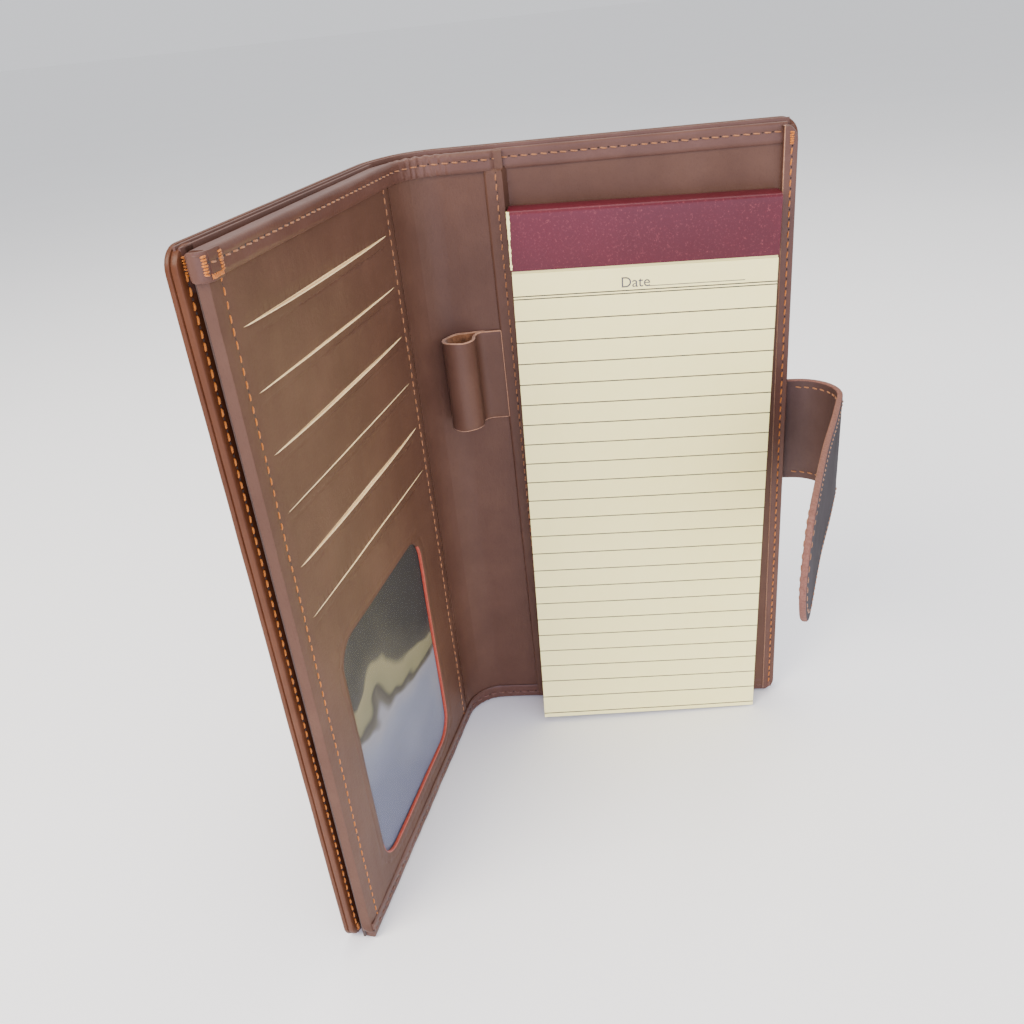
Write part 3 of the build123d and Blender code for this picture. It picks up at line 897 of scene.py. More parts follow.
seam_guides = [upright(POCKET_X + POCKET_SEAM + o, FOOT + 2, TOP - 2, 2.5) for o in (-0.7, 0, 0.7)]
slit_guides = [[(x, SLIT + o) for x in np.arange(SLIT_X0 - 4, PANEL_X1 + 2, 2.0)] for o in (-1.0, 1.4)]
step_guides = [[(x, BAND_STEP + o) for x in np.arange(POCKET_X + 1, PANEL_X1 + 2, 1.5)]
               for o in (-0.1, 0.4, 0.9)]
recess_guides = [upright(SLIT_X0 + RECESS_RUN * u, SLIT + 0.8, TOP - 2, 1.5) for u in (0, 0.3, 0.7, 1)]
panel_outline = rounded_outline(POCKET_X + FOLD_ROLL, PANEL_X1 + 3, FOOT + 2, TOP - 1.2, SQUARE, 2.0)
slit_hole = rounded_outline(SLIT_X0, PANEL_X1 + 2.4, SLIT, SLIT + 0.4, SQUARE, 2.0)
panel_flat = triangulate(panel_outline, [slit_hole], step=(2.4, 3.5),
                         guides=seam_guides + slit_guides + step_guides + recess_guides)
piece = thick_sheet("pocket_panel", right_place, panel_flat, 0.68, [inner_leather], panel_front,
                    roundness=0.1, joins=(POCKET_X + FOLD_ROLL,))
settle(piece, "right_cover", replaces=["right_pocket_panel", "right_backing"], slot="inner_leather")
fold_rings = []
for z in np.linspace(FOOT + 2, TOP - 1.2, 70):
    soft = 0.04 * math.sin(z * 0.13) + 0.03 * math.sin(z * 0.41)
    profile = [(POCKET_X + FOLD_ROLL - FOLD_ROLL * math.sin(a) + soft * math.sin(a),
                FOLD_ROLL - FOLD_ROLL * math.cos(a)) for a in np.linspace(0, math.pi, 12)]
    fold_rings.append([(x, FACE + d, z) for x, d in profile])
piece = sweep("pocket_fold_roll", fold_rings, [inner_leather])
settle(piece, "right_cover", replaces=["pocket_fold"], slot="inner_leather")


def pocket_seam(t):
    """Stitch row beside the pocket's fold."""
    z = FOOT + 1.0 + t
    d = float(panel_front(np.array([POCKET_X + POCKET_SEAM]), np.array([z]))[0])
    return (POCKET_X + POCKET_SEAM, FACE + d, z), UP, TO_FRONT


stitches("pocket_stitches", pocket_seam, TOP - FOOT - BAND - 1.4, tan_thread, body="right_cover")

# the right fore-edge binding, a folded strip with rounded outer corners
EDGE_SEAM = (EDGE_X - 1.0 - PANEL_X1) * 0.55
edge_outline = rounded_outline(PANEL_X1, EDGE_X - 1.0, FOOT + 0.9, TOP - 0.9, (0, CORNER - 1, CORNER - 1, 0), 1.5)
edge_guides = [upright(PANEL_X1 + EDGE_SEAM + o, FOOT + 4, TOP - 4, 2.0) for o in (-0.5, 0, 0.5)]
edge_flat = triangulate(edge_outline, step=(1.0, 4.0), guides=edge_guides)


def edge_front(x, z):
    """Front of the fore-edge binding: a raised lip at its inner side, and a groove at its seam."""
    lip = -0.30 * np.exp(-((x - PANEL_X1 - 0.5) / 0.55) ** 2)
    groove = 0.14 * np.exp(-((x - PANEL_X1 - EDGE_SEAM) / 0.5) ** 2)
    return -0.32 + lip + groove


piece = thick_sheet("edge_binding", right_place, edge_flat, 4.0, [band_leather, raw_edge], edge_front,
                    roundness=0.09, rim_slot=lambda s, z, row: int(s < PANEL_X1 + 0.2 and row == 0))
settle(piece, "right_cover", replaces=["right_edge_binding"], slot="binding_leather")


def edge_seam(t):
    """Stitch row on the fore-edge binding."""
    return (PANEL_X1 + EDGE_SEAM, FACE - 0.2, FOOT + 3.5 + t), UP, TO_FRONT


stitches("edge_stitches", edge_seam, TOP - FOOT - 7, orange_thread, body="right_cover")


TACK_BITE = 0.62


def bar_tack(name, corner, along, out, body, length, thread=orange_thread):
    """Close stitches across a seam's end, starting at corner."""
    corner, along, out = (np.array(v, float) for v in (corner, along, out))
    across = np.cross(along, out)
    across /= np.linalg.norm(across)
    verts, faces = [], []
    for i in range(int(length / TACK_BITE)):
        centre = corner + along * (i + 0.5) * TACK_BITE + out * 0.12
        half = 0.7 * rng.uniform(0.85, 1.1)
        tilt = rng.uniform(-0.25, 0.25)
        first = len(verts)
        for u in np.linspace(-1, 1, 7):
            size = 0.27 * (math.sqrt(max(0, 1 - abs(u) ** 3)) * 0.8 + 0.2)
            middle = centre + (across + along * tilt) * half * u - out * 0.3 * abs(u) ** 4
            for a in np.radians(np.arange(0, 360, 60)):
                verts.append(middle + along * math.cos(a) * size + out * math.sin(a) * size)
        for r in range(6):
            for k in range(6):
                l = (k + 1) % 6
                low, high = first + r * 6, first + r * 6 + 6
                faces.append((low + k, low + l, high + l, high + k))
        faces.append(tuple(first + k for k in range(6))[::-1])
        faces.append(tuple(first + 36 + k for k in range(6)))
    piece = make_object(name, verts, faces, [thread], sharp=60)
    settle(piece, body)


for name, z, length, thread in (("edge_tack", TOP - 6.2, 4.0, orange_thread),
                                ("edge_foot_tack", FOOT + 2.0, 3.0, faded_thread)):
    bar_tack(name, (PANEL_X1 + EDGE_SEAM, FACE - 0.3, z), UP, TO_FRONT, "right_cover", length, thread)


# ------------------------------------------------------------------ outer leather
def shell_profile(s, z):
    """Gentle waves over the outer leather."""
    return 0.10 * ripple(np.column_stack([s * 0.6, z * 0.35]) * 0.12, 2.2, 21)


def shell_outline(s0, s1, round_low, round_high):
    """Outline of a stretch of the outer shell."""
    a = CORNER if round_low else 0
    b = CORNER if round_high else 0
    return rounded_outline(s0, s1, 0.3, SHELL_TOP - 0.3, (a, b, b, a), 2.5)


outer_zones = [("right", -EDGE_X + 0.35, FIRST_JOIN, True, False, ["right_shell", "spine_shell"]),
               ("first", FIRST_JOIN, OUTER_MIDDLE, False, False, ["spine_turn_shell"]),
               ("second", OUTER_MIDDLE, OUTER_END - 0.35, False, True, ["left_shell"])]
for zone, s0, s1, low, high, stands_for in outer_zones:
    flat = triangulate(shell_outline(s0, s1, low, high), step=(2.2 if zone != "first" else 1.0, 5.0))
    piece = thick_sheet("outer_shell_" + zone, on(outer), flat, SHELL_WALL, [outer_leather], shell_profile,
                        roundness=0.35, joins=(FIRST_JOIN, OUTER_MIDDLE))
    settle(piece, blend=fold_blend(outer, zone), replaces=stands_for, slot="outer_leather")


# a folded ply stands between the outer leather and the top binding
PLY_HEIGHT = 9.0
ply_ends = {"right": (-EDGE_X + 3.0, FIRST_JOIN), "first": (FIRST_JOIN, OUTER_MIDDLE),
            "second": (OUTER_MIDDLE, OUTER_END - 2.6)}
for zone, (s0, s1) in ply_ends.items():
    flat = triangulate(rounded_outline(s0, s1, SHELL_TOP - PLY_HEIGHT, SHELL_TOP - 0.35, SQUARE, 2.5),
                       step=(2.2 if zone != "first" else 1.0, 3.0))
    piece = thick_sheet("ply_" + zone, on(outer), flat, 0.85, [band_leather], level(-0.98), roundness=0.45,
                        joins=(FIRST_JOIN, OUTER_MIDDLE))
    settle(piece, blend=fold_blend(outer, zone), slot="outer_leather")


# ------------------------------------------------------------------ left cover's inside
def cover_place(x, z, d):
    """Point on the left cover, depth outside its lining's face."""
    xy = hinge + np.outer(x, cover_dir) + np.outer(d, cover_out)
    return np.column_stack([xy, z])


lining_outline = rounded_outline(0.5, COVER_LENGTH - 3.4, FOOT + 1, TOP - 1, (0, 2, 2, 0), 3)
lining_flat = triangulate(lining_outline, step=(5, 6))
piece = thick_sheet("bill_lining", cover_place, lining_flat, 0.6, [cloth])
settle(piece, "left_cover", replaces=["left_cover_lining"], slot="lining")
facing_outline = rounded_outline(0.5, COVER_LENGTH - 3.0, TOP - 9, TOP + 0.2, SQUARE, 3)
facing_flat = triangulate(facing_outline, step=(3, 3))
piece = thick_sheet("bill_facing", cover_place, facing_flat, 0.8, [band_leather], level(-0.25))
settle(piece, "left_cover", slot="lining")

HEM = 7.2
hem_flat = triangulate(rounded_outline(COVER_LENGTH - HEM, COVER_LENGTH - 0.7, 0.8, SHELL_TOP - 0.8,
                                       (0, CORNER - 0.7, CORNER - 0.7, 0), 1.5), step=(1.0, 4.0))
piece = thick_sheet("cover_hem", cover_place, hem_flat, 2.0, [outer_leather],
                    lambda s, z: -0.25 + 0.12 * np.exp(-((s - COVER_LENGTH + 2.6) / 0.5) ** 2), roundness=0.3)
settle(piece, "left_cover", slot="outer_leather")


def hem_seam(t):
    """Stitch row on the turned hem of the left cover."""
    p = cover_point(COVER_LENGTH - 2.5, -0.2)
    return (p[0], p[1], 5 + t), UP, (-cover_out[0], -cover_out[1], 0)


stitches("hem_stitches", hem_seam, SHELL_TOP - 10, orange_thread, body="left_cover", thread_size=0.29)

# the folding gusset at the fore-edge, a V between the leaf's back and the cover; its leather is darkened with
# painted shade
gusset_rings = []
leaf_out = np.array([leaf_dir[1], -leaf_dir[0]])
leaf_edge = inner.at(LEAF_EDGE_S - 4.0, LEAF_BACK + 0.6)
leaf_deep = inner.at(LEAF_EDGE_S - 10.0, LEAF_BACK + 0.6)
cover_edge = cover_point(COVER_LENGTH - 4.2, -0.05)
cover_deep = cover_point(COVER_LENGTH - 11.5, -0.05)
fold_middle = (cover_point(COVER_LENGTH - 13.5, 0) + inner.at(LEAF_EDGE_S - 12.5, LEAF_BACK)) / 2
leaf_reach = leaf_edge - leaf_dir * 4 + leaf_out * 0.2
cover_reach = cover_edge - leaf_dir * 4 - leaf_out * 0.2
GUSSET_WALL = 0.22
for z in np.linspace(FOOT + 3, TOP - 3, 60):
    wave = 0.25 * math.sin(z * 0.11) + 0.15 * math.sin(z * 0.37 + 1)
    fold = fold_middle + leaf_dir * wave
    front_side = bezier(leaf_edge, leaf_reach, fold + (leaf_deep - fold) * 0.9, fold, 10)
    back_side = bezier(fold, fold + (cover_deep - fold) * 0.9, cover_reach, cover_edge, 10)
    thin = Path(front_side + back_side[1:])
    gusset_rings.append([(p[0], p[1], z) for p in list(thin.p) + list(thin.at(thin.s, GUSSET_WALL)[::-1])])
piece = sweep("bill_gusset", gusset_rings, [gusset_painted_shade])
gusset_leaf = plan_point(inner, LEAF_EDGE_S - 8, LEAF_BACK + 0.6)
gusset_cover = np.append(cover_point(COVER_LENGTH - 8, -0.1), 0)
settle(piece, blend=("left_leaf", "left_cover", gusset_leaf, gusset_cover),
       replaces=["gusset_inner_flange", "gusset_outer_flange"], slot="lining")


# ------------------------------------------------------------------ card leaf
ROLL = (LEAF_BACK + 0.9) / 2
leaf_origin = np.array(plan_point(inner, LEAF_S)[:2])


def leaf_xy(s, d):
    """Plan point on the card leaf, s from its spine seam, d behind its face."""
    return leaf_origin + leaf_dir * s + leaf_out * d


roll_x = LEAF_WIDTH - ROLL - 0.15
roll_points = [leaf_xy(roll_x + ROLL * math.sin(a), -0.15 + ROLL * (1 - math.cos(a)))
               for a in np.linspace(0, math.pi, 18)]
leaf_line = Path([leaf_xy(-0.6, -0.15)] + roll_points + [leaf_xy(roll_x - 9, 2 * ROLL - 0.15)], origin=0.6)
ROLL_S = roll_x + math.pi * ROLL
SLOTS = 6
SLOT_PITCH = 15.4
SLOT_TOP = 210.0 - 18.6
SLOT_START = 5.4
SLOT_LENGTH = 86.0
GAPES = (0.7, 0.4, 0.65, 0.06, 0.8, 0.10)
WINDOW = (18.0, 82.0, 13.0, 97.0)
WINDOW_RADIUS = 8.8
LEAF_SEAMS = {"inner": 2.5, "outer": LEAF_WIDTH - 5.2}


def slot_heights():
    """Height of each card slot's upper lip."""
    return [SLOT_TOP - i * SLOT_PITCH for i in range(SLOTS)]


def lens(s0, length, z, gape):
    """Outline of a slot that gapes in the middle; its upper lip is straight."""
    t = np.linspace(0, 1, 40)
    top = [(s0 + length * u, z + 0.06 * math.sin(math.pi * u)) for u in t]
    low = [(s0 + length * u, z - 0.12 - gape * math.sin(math.pi * u) ** 0.7) for u in t[1:-1]][::-1]
    return top + low


slot_lenses = [lens(SLOT_START, SLOT_LENGTH, z, g) for z, g in zip(slot_heights(), GAPES)]
window_hole = rounded_outline(WINDOW[0], WINDOW[1], WINDOW[2], WINDOW[3], (WINDOW_RADIUS,) * 4, 1.2)
CREASE_DROP = 2.9                   # creased line below each slot
WINDOW_CREASE = 3.0


def crease_lines():
    """Rows of points along the creased lines and seams."""
    rows = []
    for z in slot_heights():
        for o in (-0.55, 0, 0.55):
            rows.append([(s, z - CREASE_DROP + o)
                         for s in np.arange(SLOT_START + 2, SLOT_START + SLOT_LENGTH - 1, 2.0)])
        for o in (1.0, 2.2, 3.4):
            rows.append([(s, z - 0.2 - o) for s in np.arange(SLOT_START, SLOT_START + SLOT_LENGTH, 2.0)])
    for o in (-0.5, 0, 0.5):
        m = WINDOW_CREASE + o
        rows.append(rounded_outline(WINDOW[0] - m, WINDOW[1] + m, WINDOW[2] - m, WINDOW[3] + m,
                                    (WINDOW_RADIUS + m,) * 4, 1.6))
    for s in LEAF_SEAMS.values():
        for o in (-0.6, 0, 0.6):
            rows.append(upright(s + o, FOOT + 1, TOP - 1, 2.5))
    return rows


def window_distance(s, z):
    """Signed distance outside the window's rounded opening."""
    cs, cz = (WINDOW[0] + WINDOW[1]) / 2, (WINDOW[2] + WINDOW[3]) / 2
    hs, hz = (WINDOW[1] - WINDOW[0]) / 2 - WINDOW_RADIUS, (WINDOW[3] - WINDOW[2]) / 2 - WINDOW_RADIUS
    qs, qz = np.abs(s - cs) - hs, np.abs(z - cz) - hz
    return np.hypot(np.maximum(qs, 0), np.maximum(qz, 0)) + np.minimum(np.maximum(qs, qz), 0) - WINDOW_RADIUS


def card_front(s, z):
    """Depth of the card panel's face: lips, creases, seams and soft waves."""
    depth = 0.10 * ripple(np.column_stack([s * 0.7, z]) * 0.05, 1.6, 31)
    for zs, gape in zip(slot_heights(), GAPES):
        t = np.clip((s - SLOT_START) / SLOT_LENGTH, 0, 1)
        arch = np.sin(math.pi * t) ** 0.7
        below = zs - z
        lip = np.where(below > 0.05, np.exp(-np.clip(below, 0, None) / 3.2), 0) * arch * (0.35 + 0.9 * gape)
        depth -= 0.62 * lip
        crease = np.exp(-((below - CREASE_DROP) / 0.34) ** 2) * (1 - 0.6 * t)
        inside_slot = smooth((s - SLOT_START - 1) / 2) * smooth((SLOT_START + SLOT_LENGTH - 1 - s) / 2)
        depth += 0.34 * crease * inside_slot
    ring = window_distance(s, z)
    depth += 0.16 * np.exp(-((ring - WINDOW_CREASE) / 0.42) ** 2)
    depth += 0.25 * np.exp(-np.clip(ring, 0, None) / 1.2) * (z < WINDOW[3] + 8)
    for seam in LEAF_SEAMS.values():
        depth += 0.14 * np.exp(-((s - seam) / 0.55) ** 2)
    return depth


def leaf_roll_place(s, z, d):
    """Card panel's point; its height follows the leaf's rounded corners where it rolls round."""
    xy = leaf_line.at(s, d)
    reach = (xy - leaf_origin) @ leaf_dir
    over = np.clip(reach - (LEAF_WIDTH - CORNER), 0, CORNER * 0.995)
    drop = CORNER - np.sqrt(CORNER ** 2 - over ** 2)
    middle = (TOP + FOOT) / 2
    half = (TOP - FOOT) / 2
    scaled = middle + (z - middle) * (half - drop) / half
    share = smooth((np.abs(z - middle) / half - 0.8) / 0.2)
    return np.column_stack([xy, z + (scaled - z) * share])


card_outline = rounded_outline(-0.6, ROLL_S + 6, FOOT + 0.5, TOP - 0.5, SQUARE, 1.5)
card_flat = triangulate(card_outline, slot_lenses + [window_hole], step=(2.6, 3.2), guides=crease_lines())
piece = thick_sheet("card_panel_skin", leaf_roll_place, card_flat, 0.75,
                    [inner_leather, slot_edge, inner_leather], card_front, roundness=0.3,
                    rim_slot=lambda s, z, row: int(1 < s < 92 and FOOT + BAND < z < TOP - BAND))
settle(piece, "left_leaf", replaces=["card_panel", "leaf_edge_roll"], slot="inner_leather")

# cream lining that shows in the gaping slots
for i, z in enumerate(slot_heights()):
    flat = triangulate(rounded_outline(SLOT_START - 1, SLOT_START + SLOT_LENGTH + 1, z - 9, z + 2.4, SQUARE, 3),
                       step=(3, 2))

    def liner_front(s, zz, z=z):
        """Depth of this slot's lining."""
        t = np.clip((s - SLOT_START) / SLOT_LENGTH, 0, 1)
        return 0.62 - 0.25 * np.sin(math.pi * t) * np.exp(-np.abs(z - zz) / 3)
    piece = thick_sheet("slot_liner_%d" % (i + 1), leaf_roll_place, flat, 0.15, [slot_edge], liner_front)
    settle(piece, "left_leaf", slot="pocket_cloth")

# edge of the window's opening, painted red towards the spine and along its foot
def edge_ring(p, q):
    """Cross-section of the opening's edge at p, where q is the way along it."""
    normal = np.array([q[1], -q[0]]) / np.hypot(*q)
    lip = 0.3 + 0.7 * smooth(0.5 - 0.5 * (normal[0] + normal[1]))
    base = float(card_front(np.array([p[0] + normal[0] * 0.4]), np.array([p[1] + normal[1] * 0.4]))[0])
    section = np.array([(-0.08, 0.04), (-0.40 * lip, 0.16), (-0.52 * lip, 0.50), (-0.50 * lip, 0.92),
                        (0.1, 0.92), (0.1, 0.04)])
    s, z = (p + np.outer(section[:, 0], normal)).T
    return leaf_roll_place(s, z, base + section[:, 1])


ring_path = np.array(rounded_outline(*WINDOW, (WINDOW_RADIUS,) * 4, 1.2))
ring_steps = np.roll(ring_path, -1, 0) - np.roll(ring_path, 1, 0)
foot_end = int(np.argmax(ring_path[:, 0] > WINDOW[1] - 0.01))
rolled = np.roll(ring_path, -foot_end, 0)
ring_rows = [edge_ring(p, q) for p, q in zip(rolled, np.roll(ring_steps, -foot_end, 0))]
ring_rows.append(ring_rows[0])
red_start = int(np.argmax(rolled[:, 0] < WINDOW[0] + 2.5))
for name, rows, paint in (("window_edge_plain", ring_rows[:red_start + 1], inner_leather),
                          ("window_edge_red", ring_rows[red_start:], red_edge)):
    piece = sweep(name, rows, [paint])
    settle(piece, "left_leaf", slot="inner_leather")

window_outline = rounded_outline(WINDOW[0] - 3, WINDOW[1] + 3, WINDOW[2] - 3, WINDOW[3] + 3, (6,) * 4, 3)
window_flat = triangulate(window_outline, step=(4, 4))
for name, wall, paint, deep, seed, node, slot in (
        ("window_film", 0.22, film, 0.92, 41, "id_window", "clear_film"),
        ("insert_skin", 0.2, insert, 1.30, 42, "id_insert", "insert_card")):
    def window_front(s, z, deep=deep, seed=seed):
        """Depth of a slightly wavy sheet in the window."""
        return deep + 0.07 * ripple(np.column_stack([s, z]) * 0.1, 2.5, seed)
    piece = thick_sheet(name, leaf_roll_place, window_flat, wall, [paint], window_front)
    settle(piece, "left_leaf", replaces=[node], slot=slot)

for label, thread in (("inner", tan_thread), ("outer", orange_thread)):
    def leaf_seam(t, s_seam=LEAF_SEAMS[label]):
        """Stitch row on the card leaf."""
        s, z = np.array([s_seam]), np.array([FOOT + BAND - 2 + t])
        return leaf_roll_place(s, z, card_front(s, z))[0], UP, (-leaf_out[0], -leaf_out[1], 0)
    stitches("leaf_stitches_" + label, leaf_seam, TOP - FOOT - 2 * BAND + 3, thread, body="left_leaf")


# the leaf's top outer corner: a squared flap held by a U of close stitches
def flap_place(s, z, d):
    """Point on the flap, which keeps its square corner."""
    return np.column_stack([leaf_line.at(s, d), z])


flap_outline = rounded_outline(LEAF_WIDTH - 6.4, ROLL_S - 2.0, TOP - 6.2, TOP - 0.4, (1, 1, 1, 1), 1.0)
flap = triangulate(flap_outline, step=(0.9, 1.2))
piece = thick_sheet("leaf_flap", flap_place, flap, 0.7, [band_leather],
                    lambda s, z: -0.80 + 0.05 * ripple(np.column_stack([s, z]) * 0.3, 1.5, 61))
settle(piece, "left_leaf", slot="binding_leather")
for label, s_tack, z_tack, along in (("left", LEAF_WIDTH - 0.8, TOP - 5.2, UP),
                                     ("right", LEAF_WIDTH - 5.6, TOP - 5.2, UP),
                                     ("low", LEAF_WIDTH - 5.4, TOP - 5.4, (leaf_dir[0], leaf_dir[1], 0))):
    s_at = np.array([s_tack])
    p = flap_place(s_at, np.array([z_tack]), np.array([-0.78]))[0]
    t_leaf = leaf_line.tangent(s_at)[0]
    bar_tack("leaf_tack_" + label, p, along, (-t_leaf[1], t_leaf[0], 0), "left_leaf", 4.4)
cap_outline = rounded_outline(-9.0, 0.3, -0.3, 2 * ROLL - 0.2, (0.5, ROLL - 0.4, ROLL - 0.4, 0.5), 0.8)
cap = triangulate(cap_outline, step=(1.5, 1.5))


def cap_place(s, d, z):
    """Point on the leather that closes the top of the leaf's fore-edge."""
    xy = leaf_origin + np.outer(LEAF_WIDTH + s, leaf_dir) + np.outer(d, leaf_out)
    return np.column_stack([xy, TOP - 1.2 + z])


piece = thick_sheet("leaf_cap", cap_place, cap, 0.6, [band_leather])
settle(piece, "left_leaf", slot="binding_leather")
hem_point = cover_point(COVER_LENGTH - 3.0, -0.3)
for label, z_tack, length in (("top", SHELL_TOP - 6.5, 4.5), ("foot", 2.5, 3.0)):
    bar_tack("hem_tack_" + label, (hem_point[0], hem_point[1], z_tack), UP,
             (-cover_out[0], -cover_out[1], 0), "left_cover", length)


# ------------------------------------------------------------------ pen loop
loop_c = ((loop_low + loop_high) / 2)[:2]
LOOP_R = (loop_high[0] - loop_low[0]) / 2 - 0.6
LOOP_LOW, LOOP_TOP = loop_low[2] + 0.6, loop_high[2]
loop_arc = [(loop_c[0] + LOOP_R * math.cos(a), loop_c[1] + LOOP_R * math.sin(a))
            for a in np.radians(np.linspace(12, -270, 60))]
tab_front = FACE + 0.3
front_in = [(POCKET_X + 0.3, FACE + 0.45), (POCKET_X - 2, tab_front)] + bezier(
    (5.2, tab_front), (3.0, tab_front - 0.1), (loop_arc[0][0] - 0.5, loop_arc[0][1] + 2.6), loop_arc[0], 14)
back_out = bezier(loop_arc[-1], (loop_arc[-1][0] + 3, loop_arc[-1][1]), (2.5, lining_y - 0.3),
                  (6, lining_y + 0.1), 12)
loop_path = Path(front_in + loop_arc[1:] + back_out[1:])


def loop_place(s, z, d):
    """Point on the pen loop's leather, which waves a little at its cut edges."""
    xy = loop_path.at(s, d)
    high = smooth((z - LOOP_LOW) / (LOOP_TOP - LOOP_LOW))
    wave = 0.25 * np.sin(s * 0.35) + 0.12 * np.sin(s * 0.9 + 1)
    # the rolled part sits a little lower than the tab
    drop = 0.3 * smooth((6.5 - xy[:, 0]) / 5.0) * smooth((loop_c[1] + 5.5 - xy[:, 1]) / 2.5)
    return np.column_stack([xy, z + wave * (high - 0.5) - drop])


loop_flat = triangulate(rounded_outline(0, loop_path.s[-1], LOOP_LOW, LOOP_TOP, SQUARE, 0.9), step=(0.9, 3.0))
piece = thick_sheet("pen_loop_strip", loop_place, loop_flat, 1.0, [inner_leather, raw_edge, suede],
                    level(-0.5), roundness=0.35)
settle(piece, blend=("right_cover", "spine", (FOLD_X + 5.5, 0, 0), (FOLD_X - 1.5, 0, 0)),
       replaces=["pen_loop", "pen_loop_tab"], slot="inner_leather")


# ------------------------------------------------------------------ closing strap
root = joint_at["strap_root"][:2]
STRAP_BEND = 12.3
STRAP_ANGLE = math.radians(108.5)
strap_hinge = joint_at["strap_fold"][:2]
strap_dir = np.array([math.cos(STRAP_ANGLE), -math.sin(STRAP_ANGLE)])
bend_centre = (root[0], root[1] - STRAP_BEND)
STRAP_TIP_RUN = 77.0
bend_points = [(bend_centre[0] + STRAP_BEND * math.sin(a), bend_centre[1] + STRAP_BEND * math.cos(a))
               for a in np.linspace(0, STRAP_ANGLE, 26)]
strap_end = strap_hinge + strap_dir * STRAP_TIP_RUN
strap_points = [(root[0] - 9, root[1] + 0.5), (root[0] - 3, root[1] + 0.25)] + bend_points + [tuple(strap_end)]
strap_path = Path(strap_points, origin=9.0)
strap_z0, strap_z1 = strap_low[2], strap_high[2]
STRAP_HALF = (strap_z1 - strap_z0) / 2
STRAP_Z = (strap_z0 + strap_z1) / 2
STRAP_END_S = strap_path.s[-1]
hinge_s = STRAP_END_S - STRAP_TIP_RUN
STRAP_SPLIT = hinge_s - 9.0
STRAP_WALL = 1.75
STRAP_SEAM = 2.6                    # stitch rows from the strap's edges


def strap_place(s, z, d):
    """Point on the strap. Depth runs from its inside face to its outside."""
    xy = strap_path.at(s, -d)
    sway = 0.5 * np.sin((s - 20) * 0.05) * smooth((s - 30) / 40)
    t = strap_path.tangent(s)
    normal = np.stack([t[:, 1], -t[:, 0]], -1)
    return np.column_stack([xy + normal * sway[:, None], z])


def strap_face(s, z):
    """Inside face of the strap: grooves at both seams, a slight cup across its width."""
    across = (z - STRAP_Z) / STRAP_HALF
    grooves = 0.12 * np.exp(-((np.abs(z - STRAP_Z) - STRAP_HALF + STRAP_SEAM) / 0.5) ** 2)
    return -STRAP_WALL / 2 + grooves + 0.3 * (across ** 2 - 0.4) * smooth((s - 25) / 20)


SEAM_RADIUS = STRAP_HALF - STRAP_SEAM
STRAP_THREAD = 0.26


def on_strap(s, z, along_s, along_z, out_sign):
    """A seam's point on the strap, its direction and the way out; out_sign is 1 on the inside face."""
    s, z = np.array([s]), np.array([z])
    depth = strap_face(s, z) + (0 if out_sign > 0 else STRAP_WALL - 0.12)
    p = strap_place(s, z, depth)[0]
    q = strap_place(s + 0.3 * along_s, z + 0.3 * along_z, depth)[0]
    tangent = strap_path.tangent(s)[0]
    return p, q - p, np.array([tangent[1], -tangent[0], 0]) * out_sign


def strap_outline(s0, s1, tongue):
    """Outline of a stretch of strap, with a round end on the tongue."""
    r = STRAP_HALF - 0.5 if tongue else 0
    end = s1 - 0.4 if tongue else s1
    return rounded_outline(s0, end, strap_z0 + 0.4, strap_z1 - 0.4, (0, r, r, 0), 1.8)


strap_parts = [("base", -8.0, STRAP_SPLIT, False,
                ("right_cover", "strap_base", [root[0] - 1.5, root[1], 0], [root[0] + 5, root[1], 0]),
                ["strap_base_outer", "strap_base_lining"]),
               ("tongue", STRAP_SPLIT, STRAP_END_S, True,
                ("strap_base", "strap_tip", plan_point(strap_path, hinge_s - 5),
                 plan_point(strap_path, hinge_s + 5)),
                ["strap_tip_outer", "strap_tip_lining"])]
for label, s0, s1, tongue, blend, stands_for in strap_parts:
    guides = [[(s, STRAP_Z + side * (STRAP_HALF - STRAP_SEAM + o)) for s in np.arange(s0 + 1, s1 - 1, 2.0)]
              for side in (-1, 1) for o in (-0.5, 0, 0.5)]
    flat = triangulate(strap_outline(s0, s1, tongue), step=(2.0, 3.0), guides=guides)
    # the strap's outside takes the grey leather with painted shade and reflection
    piece = thick_sheet("strap_" + label, strap_place, flat, STRAP_WALL,
                        [strap_inside, pink_edge, strap_outside_painted_shade], strap_face, roundness=0.22,
                        joins=(STRAP_SPLIT,))
    settle(piece, blend=blend, replaces=stands_for, slot="outer_leather")
    for side, word in ((-1, "low"), (1, "high")):
        for face, out_sign in (("in", 1), ("out", -1)):
            stop = s1 - (STRAP_HALF if tongue else 0)
            begin = max(s0, 0.5)

            def strap_seam(t, begin=begin, side=side, out_sign=out_sign):
                """Stitch row along the strap."""
                return on_strap(begin + t, STRAP_Z + side * SEAM_RADIUS, 1, 0, out_sign)
            stitches("strap_%s_%s_%s" % (label, word, face), strap_seam, stop - begin, tan_thread, blend=blend,
                     thread_size=STRAP_THREAD)

# the rounded end's stitches
for face, out_sign in (("in", 1), ("out", -1)):
    def tip_seam(t, out_sign=out_sign):
        """Stitch row round the tongue's end."""
        a = t / SEAM_RADIUS - math.pi / 2
        return on_strap(STRAP_END_S - STRAP_HALF + SEAM_RADIUS * math.cos(a), STRAP_Z + SEAM_RADIUS * math.sin(a),
                        -math.sin(a), math.cos(a), out_sign)
    stitches("strap_tip_" + face, tip_seam, math.pi * SEAM_RADIUS, tan_thread, body="strap_tip",
             thread_size=STRAP_THREAD)


